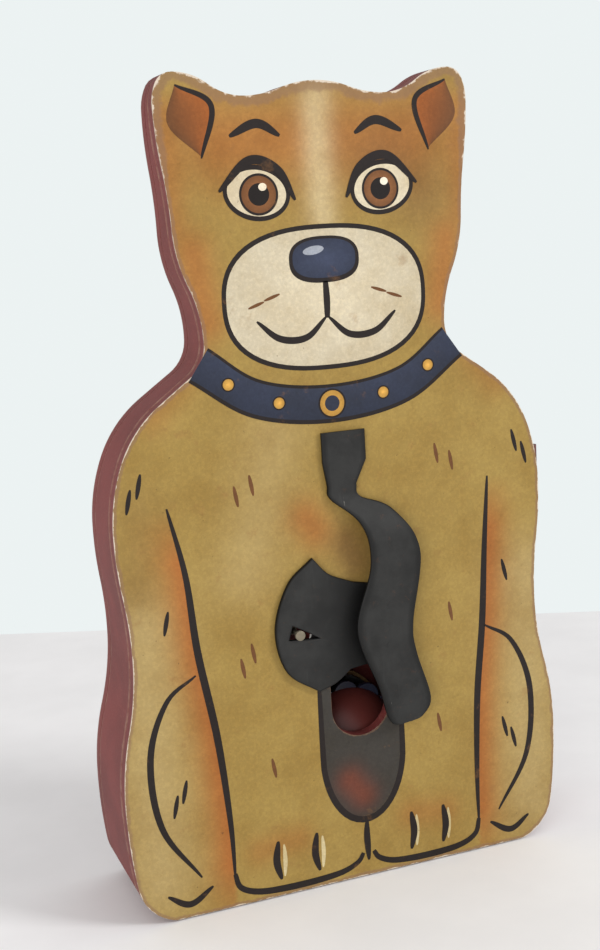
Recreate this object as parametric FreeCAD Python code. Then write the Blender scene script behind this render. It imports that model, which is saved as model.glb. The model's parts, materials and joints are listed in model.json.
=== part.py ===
import FreeCAD, Part
import math
import os

# Flat dog-shaped surprise box: a wedge case whose printed front board is a door.
# A sprung jack follows the door out. Units are millimetres, +Z is up and the front faces -Y.
# The origin lies on the table plane, in the middle of the case's footprint.

# Overall case
HEIGHT = 180.2            # table to ear tip
DEPTH_BOTTOM = 31.3       # front print to back board, at the table
DEPTH_TOP = 8.1           # the same at ear height
WALL = 2.4                # bent pasteboard side wall
BACK_T = 3.0              # back board
BOARD_T = 3.0             # front board
PRINT_T = 0.25            # printed paper on the front board
BASE_T = 4.0              # base board
DOOR_GAP = 0.25           # closed door to the wall's edge
DOOR_LIFT = 0.4           # door's bottom edge above the table

# Half of the sitting outline, right side: x, z and heading in degrees (90 is upwards)
BOTTOM_HALF = 40.5
CORNER = (BOTTOM_HALF, 0.0, 0.0)
HIP = (52.6, 28.0, 90.0)
WAIST = (48.4, 61.0, 90.0)
SHOULDER = (50.3, 87.0, 90.0)
SHOULDER_SLOPE = (38.5, 113.6, 144.0)
NECK = (27.8, 125.6, 90.0)
CHEEK = (32.9, 149.0, 88.0)
EAR_SIDE_DROP = 6.7       # widest point of the ear, below its tip
EAR_ROOT_DROP = 5.0
CROWN_DROP = 2.2
EAR_SIDE = (35.1, HEIGHT - EAR_SIDE_DROP, 89.0)
EAR_TIP = (30.8, HEIGHT, 180.0)
EAR_ROOT = (15.6, HEIGHT - EAR_ROOT_DROP, 180.0)
CROWN = (0.0, HEIGHT - CROWN_DROP, 180.0)

# Belly slot in the front board
SLOT_X = 2.9
SLOT_WIDTH = 14.2
SLOT_BOTTOM = 34.3
SLOT_TOP = 68.0

# Trigger: swinging sheet-steel lever with its keyhole catch plate
STEEL_T = 0.9             # lever and catch plate
SLIDE_GAP = 0.3           # catch plate over the print, filled by the washer at the pivot
TAB_LEFT = -3.3
TAB_RIGHT = 6.9
TAB_TOP = 104.2
TAB_HEIGHT = 6.6
TAB_BOTTOM = TAB_TOP - TAB_HEIGHT
PIVOT_DROP = 3.6          # pivot below the tab's top edge
PIVOT_X = (TAB_LEFT + TAB_RIGHT) / 2
PIVOT_Z = TAB_TOP - PIVOT_DROP
PIVOT_R = 1.3
PIVOT_HEAD_R = 2.1
PIVOT_CLEARANCE = 0.05
WASHER_R = 2.9
RIVET_TAIL_R = 2.4
RIVET_TAIL_T = 0.5
LEVER_RIGHT = [(4.3, 92.4), (4.9, 89.5), (8.1, 88.2), (11.4, 86.3), (14.1, 83.8), (16.2, 80.8), (17.5, 76.9),
               (17.7, 73.5), (17.0, 69.4), (15.6, 65.0), (15.0, 59.3), (15.4, 53.4), (16.6, 49.3), (18.0, 45.1)]
LEVER_TOE = [(18.6, 41.0), (17.6, 38.6), (15.2, 37.3), (11.5, 36.9), (8.7, 37.4)]
LEVER_LEFT = [(7.4, 40.4), (6.2, 45.7), (4.5, 49.8), (2.9, 53.6), (1.7, 57.2), (1.5, 61.1), (2.4, 64.8), (4.4, 69.0),
              (5.5, 73.2), (5.9, 77.4), (5.5, 80.1), (4.3, 83.1), (2.4, 85.6), (0.0, 87.7), (-2.2, 89.6), (-2.5, 92.4)]
LEVER_EDGE = LEVER_RIGHT + LEVER_TOE + LEVER_LEFT
JOGGLE_LOW = 80.0         # below here the lever stands off over the catch plate
JOGGLE_RUN = 11.0         # height of the slope that leads out to it
JOGGLE_RISE = 3.2         # how far it stands off
MOON_POINTS = [(-7.1, 77.1), (-13.2, 71.8), (-16.6, 62.0), (-14.4, 52.2), (-7.2, 46.6)]
MOON_TIP = (-3.4, 73.0)
MOON_CHEST = (2.2, 70.4)
MOON_HEEL = (-3.0, 48.0)
MOON_BEND_X = 6.9         # where the catch plate turns up to the lever
MOON_RIGHT_TOP = (MOON_BEND_X, 69.4)
MOON_RIGHT_LOW = (MOON_BEND_X, 51.4)
FLANGE_X = 13.4           # free edge of the flange under the lever
FLANGE_LOW = 53.0
FLANGE_TOP = 67.4
MOON_NOTCH = (0.6, 50.6)
LATCH_RIVET_R = 0.8
LATCH_RIVETS = [(9.6, 64.8), (9.0, 55.6)]

# Keyhole and the stud that stands in its wide end at rest
STUD_X = -11.3
STUD_Z = 60.5
STUD_HEAD_R = 1.1
STUD_NECK_R = 0.6
STUD_HEAD_T = 0.9
STUD_HEAD_GAP = 0.25      # stud head in front of the catch plate
STUD_FLANGE_R = 2.6
STUD_FLANGE_T = 0.8
STUD_HOLE_R = 3.2         # clearance hole through the front board
KEY_LENGTH = 7.1
KEY_HEIGHT = 3.4
KEY_BACK = 1.9            # wide end to the resting stud
STUD_BLOCK = 10.0

# Side hinges, out of sight behind the front board's right edge
HINGE_X = 51.5
BARREL_R = 1.1
PIN_R = 0.55
PIN_CLEARANCE = 0.05
LEAF_T = 0.5
LEAF_X = 42.0
HINGE_LENGTH = 16.0
HINGE_ZS = (HIP[1], SHOULDER[1])
KNUCKLE_SHARE = 3         # knuckles to a hinge, the middle one on the door
KNUCKLE_GAP = 0.2
BARREL_GAP = 0.2          # barrel to the door's back face
HINGE_BLOCK_X = 40.0
HINGE_BLOCK_DEPTH = 8.0
HINGE_BLOCK_OVER = 1.0
DOOR_RELIEF = 0.3
TACK_HEAD_R = 0.9
TACK_CROWN_R = 0.5
TACK_HEAD_T = 0.3
TACK_SHANK_R = 0.35
TACK_LENGTH = 2.2
TACK_INSET = 2.5
TACK_X = LEAF_X + TACK_INSET
DOOR_TACK_REACH = 2.7     # tacks from the hinge's middle
CASE_TACK_REACH = 5.5

# Jack on its conical spring
JACK_X = 4.0
JACK_Z = 30.0
HEAD_R = 11.0
HEAD_H = 7.0
HEAD_TO_DOOR = 1.0
CAP_T = 0.8
CAP_EDGE = 3.0            # the cap's brim above the head's centre
NOSE_R = 1.5
RUFF_R = 13.4
RUFF_T = 1.2
RUFF_LOBES = 12
RUFF_LOBE_R = 2.9
CUP_R = 8.6
CUP_T = 0.6
CUP_RIM = 1.4
WIRE_R = 0.45
SPRING_TURNS = 5
SPRING_R_BACK = 11.0
SPRING_R_FRONT = 6.0
SPRING_SEAT_GAP = 0.1
SEAT_R = 12.6
SEAT_T = 0.6
SEAT_RIM = 1.4
SEAT_TACK_R = 4.0
BLOCK_R = 13.4
BLOCK_MIN = 1.0           # spring block at its thin upper edge

# Glue blocks in the base corners and brads round the back
GLUE_BLOCK = 7.0
GLUE_BLOCK_DEPTH = 12.0
BRAD_R = 0.9
BRAD_PROUD = 0.2
BRAD_INSET = 1.2
BRAD_LENGTH = 2.6
BRAD_TOP_DROP = 14.2
BRAD_ZS = (14.0, 44.0, 74.0, 98.0, 140.0, HEIGHT - BRAD_TOP_DROP)

# Planes worked out from the sizes above
FRONT = -DEPTH_BOTTOM / 2
BOARD_FRONT = FRONT + PRINT_T
BOARD_BACK = BOARD_FRONT + BOARD_T
SEAM = BOARD_BACK + DOOR_GAP
BACK = DEPTH_BOTTOM / 2
SLOPE = (DEPTH_BOTTOM - DEPTH_TOP) / HEIGHT
LEAN = math.atan(SLOPE)
HINGE_Y = BOARD_BACK + BARREL_GAP + BARREL_R
FAR = 400.0


def vec(x, y, z):
    """A point or direction in the part's frame."""
    return FreeCAD.Vector(x, y, z)


def arc_from(start, tangent, end):
    """Arc that leaves start along tangent and ends at end, or a line where they are in line."""
    chord = end - start
    along = chord * (1.0 / chord.Length)
    side = tangent - along * tangent.dot(along)
    if side.Length < 1e-6:
        return Part.makeLine(start, end)
    half_turn = math.atan2(side.Length, tangent.dot(along)) / 2
    middle = (start + end) * 0.5 + side * (chord.Length / 2 * math.tan(half_turn) / side.Length)
    return Part.Arc(start, middle, end).toShape()


def biarc(start, out, end, into):
    """Two tangent arcs from start, leaving along out, to end, arriving along into."""
    gap = end - start
    both = out + into
    a = 2 * (1 - out.dot(into))
    b = gap.dot(both)
    c = gap.dot(gap)
    reach = c / (2 * b) if a < 1e-9 else (math.sqrt(b * b + a * c) - b) / a
    middle = (start + out * reach + end - into * reach) * 0.5
    if (middle - start).Length < 1e-6 or out.cross(gap).Length + into.cross(gap).Length < 1e-6:
        return [Part.makeLine(start, end)]
    turn_in = end - into * reach - middle
    heading = turn_in * (1.0 / turn_in.Length)
    return [arc_from(start, out, middle), arc_from(middle, heading, end)]


def outline_wire():
    """Closed outline in the XZ plane, a chain of tangent arcs mirrored about X = 0."""
    right = [CORNER, HIP, WAIST, SHOULDER, SHOULDER_SLOPE, NECK, CHEEK, EAR_SIDE, EAR_TIP, EAR_ROOT]
    left = [(-x, z, -heading) for x, z, heading in reversed(right)]
    stations = right + [CROWN] + left
    edges = []
    for here, there in zip(stations, stations[1:] + stations[:1]):
        ends = []
        for x, z, heading in (here, there):
            turn = math.radians(heading)
            ends.append((vec(x, 0, z), vec(math.cos(turn), 0, math.sin(turn))))
        edges += biarc(*ends[0], *ends[1])
    return Part.Wire(edges)


def prism(wire, y_from, y_to):
    """Plate between two planes square to Y, with the wire's outline."""
    face = Part.Face(wire)
    solid = face.extrude(vec(0, y_to - y_from, 0))
    solid.translate(vec(0, y_from, 0))
    return solid


def box(x0, x1, y0, y1, z0, z1):
    return Part.makeBox(x1 - x0, y1 - y0, z1 - z0, vec(x0, y0, z0))


def rod(x, z, radius, y_from, y_to):
    """Cylinder along Y."""
    return Part.makeCylinder(radius, y_to - y_from, vec(x, y_from, z), vec(0, 1, 0))


def back_face_y(z, inset=0.0):
    """Y of the leaning back plane at height z, moved in by inset along its normal."""
    return BACK - SLOPE * z - inset / math.cos(LEAN)


def in_front_of_back(inset):
    """Everything in front of the leaning plane that lies inset inside the back face."""
    corners = [(-FAR, -FAR), (back_face_y(-FAR, inset), -FAR), (back_face_y(FAR, inset), FAR), (-FAR, FAR)]
    points = [vec(-FAR, y, z) for y, z in corners]
    return Part.Face(Part.makePolygon(points + points[:1])).extrude(vec(2 * FAR, 0, 0))


def one(shape):
    """The refined shape, as a single solid where it is one."""
    shape = shape.removeSplitter()
    return shape.Solids[0] if len(shape.Solids) == 1 else shape


def spline(points):
    """Smooth edge through points given as x, z."""
    curve = Part.BSplineCurve()
    curve.interpolate([vec(x, 0, z) for x, z in points])
    return curve.toShape()


def line(start, end):
    return Part.makeLine(vec(start[0], 0, start[1]), vec(end[0], 0, end[1]))


def three_point_arc(start, middle, end):
    return Part.Arc(*[vec(x, 0, z) for x, z in (start, middle, end)]).toShape()


def slot_wire(x, width, z_low, z_high):
    """Upright slot with round ends."""
    r = width / 2
    low, high = z_low + r, z_high - r
    return Part.Wire([
        three_point_arc((x - r, low), (x, z_low), (x + r, low)),
        line((x + r, low), (x + r, high)),
        three_point_arc((x + r, high), (x, z_high), (x - r, high)),
        line((x - r, high), (x - r, low))])


def save(name, *solids):
    """Write one node, as a single solid or as a group of separate solids."""
    shape = solids[0] if len(solids) == 1 else Part.makeCompound(list(solids))
    assert shape.isValid(), name
    shape.exportStep(f"parts/{name}.step")
    print(name, "solids", len(shape.Solids), "volume", round(shape.Volume, 2))


os.makedirs("parts", exist_ok=True)
OUTLINE = outline_wire()
INSIDE = OUTLINE.makeOffset2D(-WALL)
interior = prism(INSIDE, SEAM, BACK + 1).common(in_front_of_back(BACK_T))
HINGE_PLANE = HINGE_Y + BARREL_R


def tack(x, z, y_seat, into):
    """Tack driven along Y: a low tapered head on y_seat and a shank that runs in the direction into."""
    seat = vec(x, y_seat, z)
    inward = vec(0, into, 0)
    head = Part.makeCone(TACK_HEAD_R, TACK_CROWN_R, TACK_HEAD_T, seat, inward * -1)
    shank = Part.makeCylinder(TACK_SHANK_R, TACK_LENGTH, seat, inward)
    return one(head.fuse(shank))


def tack_hole(x, z):
    """Room for tack shanks, along the whole depth."""
    return rod(x, z, TACK_SHANK_R, -FAR, FAR)


def hinge_tack_places(z, on_door):
    """Two tack places on one leaf; the door's lie nearer to the middle."""
    reach = DOOR_TACK_REACH if on_door else CASE_TACK_REACH
    return [(TACK_X, z - reach), (TACK_X, z + reach)]


# Case walls, base and blocks
ring = prism(OUTLINE, SEAM, BACK + 1).cut(prism(INSIDE, SEAM - 1, BACK + 2))
ring = ring.common(in_front_of_back(BACK_T))
base_room = box(-BOTTOM_HALF, BOTTOM_HALF, -FAR, FAR, -1, BASE_T)
walls = ring.cut(base_room)
relief_r = math.hypot(HIP[0] - HINGE_X, HINGE_Y - BOARD_BACK) + DOOR_RELIEF
walls = walls.cut(Part.makeCylinder(relief_r, SHOULDER_SLOPE[1], vec(HINGE_X, HINGE_Y, 0)))
for hinge_z in HINGE_ZS:
    reach = HINGE_LENGTH / 2 + KNUCKLE_GAP
    walls = walls.cut(box(HINGE_BLOCK_X, FAR, SEAM - 1, HINGE_PLANE, hinge_z - reach, hinge_z + reach))
save("side_wall_left", one(walls.common(box(-FAR, 0, -FAR, FAR, -FAR, FAR))))
save("side_wall_right", one(walls.common(box(0, FAR, -FAR, FAR, -FAR, FAR))))
base_board = box(-BOTTOM_HALF, BOTTOM_HALF, SEAM, FAR, 0, BASE_T).common(in_front_of_back(BACK_T))
save("base_board", one(base_board))

# Back board, held on the walls by brads
brads = []
for z in BRAD_ZS:
    across = Part.Face(OUTLINE).common(Part.makeLine(vec(0, 0, z), vec(FAR, 0, z)))
    brad_x = across.BoundBox.XMax - BRAD_INSET
    normal = vec(0, math.cos(LEAN), math.sin(LEAN))
    for x in (-brad_x, brad_x):
        seat = vec(x, back_face_y(z), z)
        head = Part.makeCylinder(BRAD_R, BRAD_PROUD, seat, normal)
        shank = Part.makeCylinder(BRAD_R / 2, BRAD_LENGTH, seat - normal * BRAD_LENGTH, normal)
        brads.append(one(head.fuse(shank)))
back_board = prism(OUTLINE, FRONT, BACK + 1).common(in_front_of_back(0)).cut(in_front_of_back(BACK_T))
for brad in brads:
    back_board = back_board.cut(brad)
save("back_board", one(back_board))
save("back_brads", *brads)

# Glue blocks in the base corners
glue_blocks = []
for side in (-1, 1):
    inner = side * (BOTTOM_HALF - GLUE_BLOCK)
    outer = side * (BOTTOM_HALF + GLUE_BLOCK)
    block = box(min(inner, outer), max(inner, outer), SEAM + GLUE_BLOCK, FAR, BASE_T, BASE_T + GLUE_BLOCK)
    glue_blocks.append(one(block.common(interior)))
save("glue_blocks", *glue_blocks)


def barrel(z_from, z_to, radius):
    return Part.makeCylinder(radius, z_to - z_from, vec(HINGE_X, HINGE_Y, z_from))


def hinge_leaf(z, on_door):
    """Flat leaf with its share of the knuckles curled round the pin."""
    half = HINGE_LENGTH / 2
    knuckle = HINGE_LENGTH / KNUCKLE_SHARE / 2
    y_flat = BOARD_BACK if on_door else HINGE_PLANE - LEAF_T
    short_x = HINGE_X - BARREL_R - DOOR_RELIEF
    leaf = box(LEAF_X, short_x, y_flat, y_flat + LEAF_T, z - half, z + half)
    if on_door:
        spans = [(z - knuckle, z + knuckle)]
    else:
        spans = [(z - half, z - knuckle - KNUCKLE_GAP), (z + knuckle + KNUCKLE_GAP, z + half)]
    y_curl = HINGE_Y - BARREL_R if on_door else HINGE_PLANE - LEAF_T
    for low, high in spans:
        y_low = min(y_flat, y_curl)
        web = box(short_x - LEAF_T, HINGE_X, y_low, max(y_flat, y_curl) + LEAF_T, low, high)
        leaf = leaf.fuse(web).fuse(barrel(low, high, BARREL_R))
    leaf = leaf.cut(barrel(z - half - 1, z + half + 1, PIN_R + PIN_CLEARANCE))
    for x, tack_z in hinge_tack_places(z, on_door):
        leaf = leaf.cut(tack_hole(x, tack_z))
    return one(leaf)


# Hinges: blocks and leaves on the case, leaves on the door, pins and tacks
hinge_blocks = []
for z in HINGE_ZS:
    reach = HINGE_LENGTH / 2 + HINGE_BLOCK_OVER
    block = box(HINGE_BLOCK_X, FAR, HINGE_PLANE, HINGE_PLANE + HINGE_BLOCK_DEPTH, z - reach, z + reach)
    block = block.common(interior)
    for x, tack_z in hinge_tack_places(z, False):
        block = block.cut(tack(x, tack_z, HINGE_PLANE - LEAF_T, 1))
    hinge_blocks.append(one(block))
save("hinge_blocks", *hinge_blocks)
save("hinge_leaves_case", *[hinge_leaf(z, False) for z in HINGE_ZS])
save("hinge_leaves_door", *[hinge_leaf(z, True) for z in HINGE_ZS])
save("hinge_pins", *[barrel(z - HINGE_LENGTH / 2, z + HINGE_LENGTH / 2, PIN_R) for z in HINGE_ZS])
case_tacks = [tack(x, t, HINGE_PLANE - LEAF_T, 1) for z in HINGE_ZS for x, t in hinge_tack_places(z, False)]
door_tacks = [tack(x, t, BOARD_BACK + LEAF_T, -1) for z in HINGE_ZS for x, t in hinge_tack_places(z, True)]
save("hinge_tacks_case", *case_tacks)
save("hinge_tacks_door", *door_tacks)

# Door: front board with its belly slot, and the printed paper that faces it
door_room = box(-FAR, FAR, -FAR, FAR, DOOR_LIFT, FAR)
slot = prism(slot_wire(SLOT_X, SLOT_WIDTH, SLOT_BOTTOM, SLOT_TOP), -FAR, FAR)
stud_hole = rod(STUD_X, STUD_Z, STUD_HOLE_R, -FAR, FAR)
pivot_hole = rod(PIVOT_X, PIVOT_Z, PIVOT_R, -FAR, FAR)


def door_plate(y_from, y_to):
    plate = prism(OUTLINE, y_from, y_to).common(door_room)
    return plate.cut(slot).cut(stud_hole).cut(pivot_hole)


front_board = door_plate(BOARD_FRONT, BOARD_BACK)
for solid in door_tacks:
    front_board = front_board.cut(solid)
save("front_board", one(front_board))
save("front_print", one(door_plate(FRONT, BOARD_FRONT)))

# Trigger pivot: washer on the print and a flush rivet clinched behind the board
PLATE_BACK = FRONT - SLIDE_GAP
PLATE_FRONT = PLATE_BACK - STEEL_T
washer = rod(PIVOT_X, PIVOT_Z, WASHER_R, PLATE_BACK, FRONT)
save("trigger_washer", one(washer.cut(pivot_hole)))


def countersunk(extra):
    """Flush rivet head and shank, or with extra the running hole for them."""
    front = vec(PIVOT_X, PLATE_FRONT, PIVOT_Z)
    return Part.makeCone(PIVOT_HEAD_R + extra, PIVOT_R + extra, STEEL_T, front, vec(0, 1, 0))


rivet = countersunk(0).fuse(rod(PIVOT_X, PIVOT_Z, PIVOT_R, PLATE_BACK, BOARD_BACK))
rivet = rivet.fuse(rod(PIVOT_X, PIVOT_Z, RIVET_TAIL_R, BOARD_BACK, BOARD_BACK + RIVET_TAIL_T))
save("trigger_rivet", one(rivet))

# Thumb lever: S-shaped outline cut from a strip that slopes out over the catch plate
lever_outline = Part.Wire([
    line((TAB_LEFT, TAB_TOP), (TAB_RIGHT, TAB_TOP)),
    line((TAB_RIGHT, TAB_TOP), (TAB_RIGHT, TAB_BOTTOM)),
    line((TAB_RIGHT, TAB_BOTTOM), LEVER_EDGE[0]),
    spline(LEVER_EDGE),
    line(LEVER_EDGE[-1], (TAB_LEFT, TAB_BOTTOM)),
    line((TAB_LEFT, TAB_BOTTOM), (TAB_LEFT, TAB_TOP))])
steps = [(0, TAB_TOP + 1), (0, JOGGLE_LOW + JOGGLE_RUN), (-JOGGLE_RISE, JOGGLE_LOW), (-JOGGLE_RISE, 0)]
strip_front = [vec(-FAR, PLATE_FRONT + rise, z) for rise, z in steps]
strip_back = [vec(-FAR, PLATE_BACK + rise, z) for rise, z in reversed(steps)]
strip = Part.Face(Part.makePolygon(strip_front + strip_back + strip_front[:1])).extrude(vec(2 * FAR, 0, 0))
latch_holes = [rod(x, z, LATCH_RIVET_R, -FAR, FAR) for x, z in LATCH_RIVETS]
lever = prism(lever_outline, PLATE_FRONT - 2 * JOGGLE_RISE, FRONT).common(strip).cut(countersunk(PIVOT_CLEARANCE))
for hole in latch_holes:
    lever = lever.cut(hole)
save("thumb_lever", one(lever))

# Catch plate: half-moon with a keyhole along its own swing, turned up to a flange under the lever
swing = vec(STUD_Z - PIVOT_Z, 0, PIVOT_X - STUD_X).normalize() * -1
across = vec(-swing.z, 0, swing.x)
key_base = vec(STUD_X, 0, STUD_Z) - swing * KEY_BACK
key_corners = [key_base + across * (KEY_HEIGHT / 2), key_base - across * (KEY_HEIGHT / 2),
               key_base + swing * KEY_LENGTH]
keyhole = prism(Part.makePolygon(key_corners + key_corners[:1]), -FAR, FAR)
moon_outline = Part.Wire([
    spline(MOON_POINTS),
    three_point_arc(MOON_POINTS[-1], MOON_HEEL, MOON_NOTCH),
    line(MOON_NOTCH, MOON_RIGHT_LOW),
    line(MOON_RIGHT_LOW, MOON_RIGHT_TOP),
    line(MOON_RIGHT_TOP, MOON_CHEST),
    three_point_arc(MOON_CHEST, MOON_TIP, MOON_POINTS[0])])
LEVER_BACK = PLATE_BACK - JOGGLE_RISE
catch_plate = prism(moon_outline, PLATE_FRONT, PLATE_BACK).cut(keyhole)
turned_up = box(MOON_BEND_X - STEEL_T, MOON_BEND_X, LEVER_BACK, PLATE_BACK, FLANGE_LOW, FLANGE_TOP)
flange = box(MOON_BEND_X - STEEL_T, FLANGE_X, LEVER_BACK, LEVER_BACK + STEEL_T, FLANGE_LOW, FLANGE_TOP)
catch_plate = catch_plate.fuse(turned_up).fuse(flange)
for hole in latch_holes:
    catch_plate = catch_plate.cut(hole)
save("catch_plate", one(catch_plate))
latch_rivets = [rod(x, z, LATCH_RIVET_R, LEVER_BACK - STEEL_T, LEVER_BACK + STEEL_T) for x, z in LATCH_RIVETS]
save("latch_rivets", *latch_rivets)

# Keeper stud on its block inside the back board
block_front = back_face_y(STUD_Z + STUD_BLOCK / 2, BACK_T) - STUD_FLANGE_T
half_block = STUD_BLOCK / 2
stud_block = box(STUD_X - half_block, STUD_X + half_block, block_front, FAR, STUD_Z - half_block, STUD_Z + half_block)
save("stud_block", one(stud_block.common(in_front_of_back(BACK_T))))
stud_tip = PLATE_FRONT - STUD_HEAD_GAP - STUD_HEAD_T
stud = rod(STUD_X, STUD_Z, STUD_NECK_R, stud_tip, block_front)
stud = stud.fuse(rod(STUD_X, STUD_Z, STUD_HEAD_R, BOARD_BACK, block_front))
stud = stud.fuse(rod(STUD_X, STUD_Z, STUD_HEAD_R, stud_tip, stud_tip + STUD_HEAD_T))
stud = stud.fuse(rod(STUD_X, STUD_Z, STUD_FLANGE_R, block_front - STUD_FLANGE_T, block_front))
save("keeper_stud", one(stud))

# Jack, from the back forwards: block, seat, spring, cup, ruff, head, cap and nose
head_front = BOARD_BACK + HEAD_TO_DOOR
head_back = head_front + HEAD_H
ruff_back = head_back + RUFF_T
cup_back = ruff_back + CUP_T
spring_front = cup_back + WIRE_R + SPRING_SEAT_GAP
seat_back = back_face_y(JACK_Z + BLOCK_R, BACK_T) - BLOCK_MIN
seat_front = seat_back - SEAT_T
spring_back = seat_front - SPRING_SEAT_GAP - WIRE_R
spring_length = spring_back - spring_front


def jack_rod(radius, y_from, y_to):
    return rod(JACK_X, JACK_Z, radius, y_from, y_to)


def dish(radius, floor_from, floor_to, rim_to, wall):
    """Round sheet-metal dish whose floor lies between two planes and whose rim turns up to rim_to."""
    low, high = min(floor_from, rim_to), max(floor_to, rim_to)
    shell = jack_rod(radius, low, high)
    hollow_low = floor_to if rim_to > floor_to else low - 1
    hollow_high = high + 1 if rim_to > floor_to else floor_from
    return shell.cut(jack_rod(radius - wall, hollow_low, hollow_high))


spring_block = jack_rod(BLOCK_R, seat_back, FAR).common(in_front_of_back(BACK_T))
seat = dish(SEAT_R, seat_front, seat_back, seat_front - SEAT_RIM, SEAT_T)
seat_tacks = [tack(JACK_X + side * SEAT_TACK_R, JACK_Z, seat_front, 1) for side in (-1, 1)]
for solid in seat_tacks:
    seat = seat.cut(solid)
    spring_block = spring_block.cut(solid)
save("spring_block", one(spring_block))
save("spring_seat", one(seat))
save("seat_tacks", *seat_tacks)


def spring_point(turn):
    """Centre line of the conical spring at a number of turns, with its direction."""
    share = turn / SPRING_TURNS
    radius = SPRING_R_BACK + (SPRING_R_FRONT - SPRING_R_BACK) * share
    angle = 2 * math.pi * turn
    point = vec(JACK_X + radius * math.cos(angle), spring_back - spring_length * share, JACK_Z + radius * math.sin(angle))
    grow = (SPRING_R_FRONT - SPRING_R_BACK) / SPRING_TURNS / (2 * math.pi)
    rate = vec(grow * math.cos(angle) - radius * math.sin(angle), -spring_length / SPRING_TURNS / (2 * math.pi),
               grow * math.sin(angle) + radius * math.cos(angle))
    return point, rate.normalize()


quarters = [spring_point(step / 4) for step in range(4 * SPRING_TURNS + 1)]
wire_edges = [Part.makeLine(quarters[0][0] - quarters[0][1] * (2 * WIRE_R), quarters[0][0])]
for (here, out), (there, into) in zip(quarters, quarters[1:]):
    wire_edges += biarc(here, out, there, into)
wire_edges.append(Part.makeLine(quarters[-1][0], quarters[-1][0] + quarters[-1][1] * (2 * WIRE_R)))
tube_start = quarters[0][0] - quarters[0][1] * (2 * WIRE_R)
section = Part.Wire([Part.makeCircle(WIRE_R, tube_start, quarters[0][1])])
jack_spring = Part.Wire(wire_edges).makePipeShell([section], True, False)
samples = [spring_point(step / 48)[0] for step in range(48 * SPRING_TURNS + 1)]
least = min((a - b).Length for i, a in enumerate(samples) for b in samples[i + 24:])
print("least spring self gap", round(least - 2 * WIRE_R, 2))
save("jack_spring", jack_spring)

cup = dish(CUP_R, ruff_back, cup_back, cup_back + CUP_RIM, CUP_T)
cup_tack = tack(JACK_X, JACK_Z, cup_back, -1)
save("jack_cup", one(cup.cut(cup_tack)))
save("cup_tack", cup_tack)
ruff = jack_rod(RUFF_R - RUFF_LOBE_R, head_back, ruff_back)
for lobe in range(RUFF_LOBES):
    turn = 2 * math.pi * lobe / RUFF_LOBES
    reach = RUFF_R - RUFF_LOBE_R
    petal = rod(JACK_X + reach * math.cos(turn), JACK_Z + reach * math.sin(turn), RUFF_LOBE_R, head_back, ruff_back)
    ruff = ruff.fuse(petal)
save("jack_ruff", one(ruff.cut(cup_tack)))


def dome(radius, height):
    """Shallow turned dome on the plane of the head's back."""
    ball = (radius * radius + height * height) / (2 * height)
    sphere = Part.makeSphere(ball, vec(JACK_X, head_back - height + ball, JACK_Z))
    return sphere.common(jack_rod(radius, head_back - height - 1, head_back))


head = dome(HEAD_R, HEAD_H)
nose_y = head_front + NOSE_R
nose = Part.makeSphere(NOSE_R, vec(JACK_X, nose_y, JACK_Z))
cap_room = box(-FAR, FAR, -FAR, FAR, JACK_Z + CAP_EDGE, FAR)
cap = dome(HEAD_R + CAP_T, HEAD_H + CAP_T / 2).cut(head).common(cap_room)
save("jack_head", one(head.cut(nose).cut(cup_tack)))
save("jack_nose", nose)
save("jack_cap", one(cap))
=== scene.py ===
import json
import math

import bpy
import numpy as np
from mathutils import Matrix, Vector

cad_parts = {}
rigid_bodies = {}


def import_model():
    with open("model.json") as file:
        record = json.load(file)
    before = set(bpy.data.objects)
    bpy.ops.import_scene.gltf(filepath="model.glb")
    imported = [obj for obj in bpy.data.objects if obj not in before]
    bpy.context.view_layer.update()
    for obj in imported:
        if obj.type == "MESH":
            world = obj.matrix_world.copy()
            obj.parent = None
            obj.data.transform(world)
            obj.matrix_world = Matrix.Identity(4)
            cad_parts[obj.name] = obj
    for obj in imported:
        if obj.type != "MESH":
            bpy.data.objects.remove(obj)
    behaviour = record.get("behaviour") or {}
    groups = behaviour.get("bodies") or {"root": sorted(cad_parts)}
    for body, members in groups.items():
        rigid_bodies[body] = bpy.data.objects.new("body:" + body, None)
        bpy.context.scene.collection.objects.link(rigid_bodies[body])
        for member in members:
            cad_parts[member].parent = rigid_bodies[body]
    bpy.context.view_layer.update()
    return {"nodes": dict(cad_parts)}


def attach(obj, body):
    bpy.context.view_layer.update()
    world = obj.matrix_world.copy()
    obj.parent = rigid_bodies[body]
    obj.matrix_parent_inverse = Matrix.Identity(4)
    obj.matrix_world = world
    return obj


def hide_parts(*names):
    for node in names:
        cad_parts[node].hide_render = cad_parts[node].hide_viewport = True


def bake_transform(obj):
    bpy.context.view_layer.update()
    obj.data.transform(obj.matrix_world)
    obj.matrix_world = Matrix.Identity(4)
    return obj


bl_info = {
    "name": "Sitting dog surprise box",
    "version": (1, 0, 0),
    "blender": (4, 5, 0),
    "location": "3D View > Sidebar > Surprise box",
    "description": "Flat wedge case with a printed front, a keyhole latch and a sprung jack",
    "category": "Object",
}

for leftover in list(bpy.data.objects):
    bpy.data.objects.remove(leftover)
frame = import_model()

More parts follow.
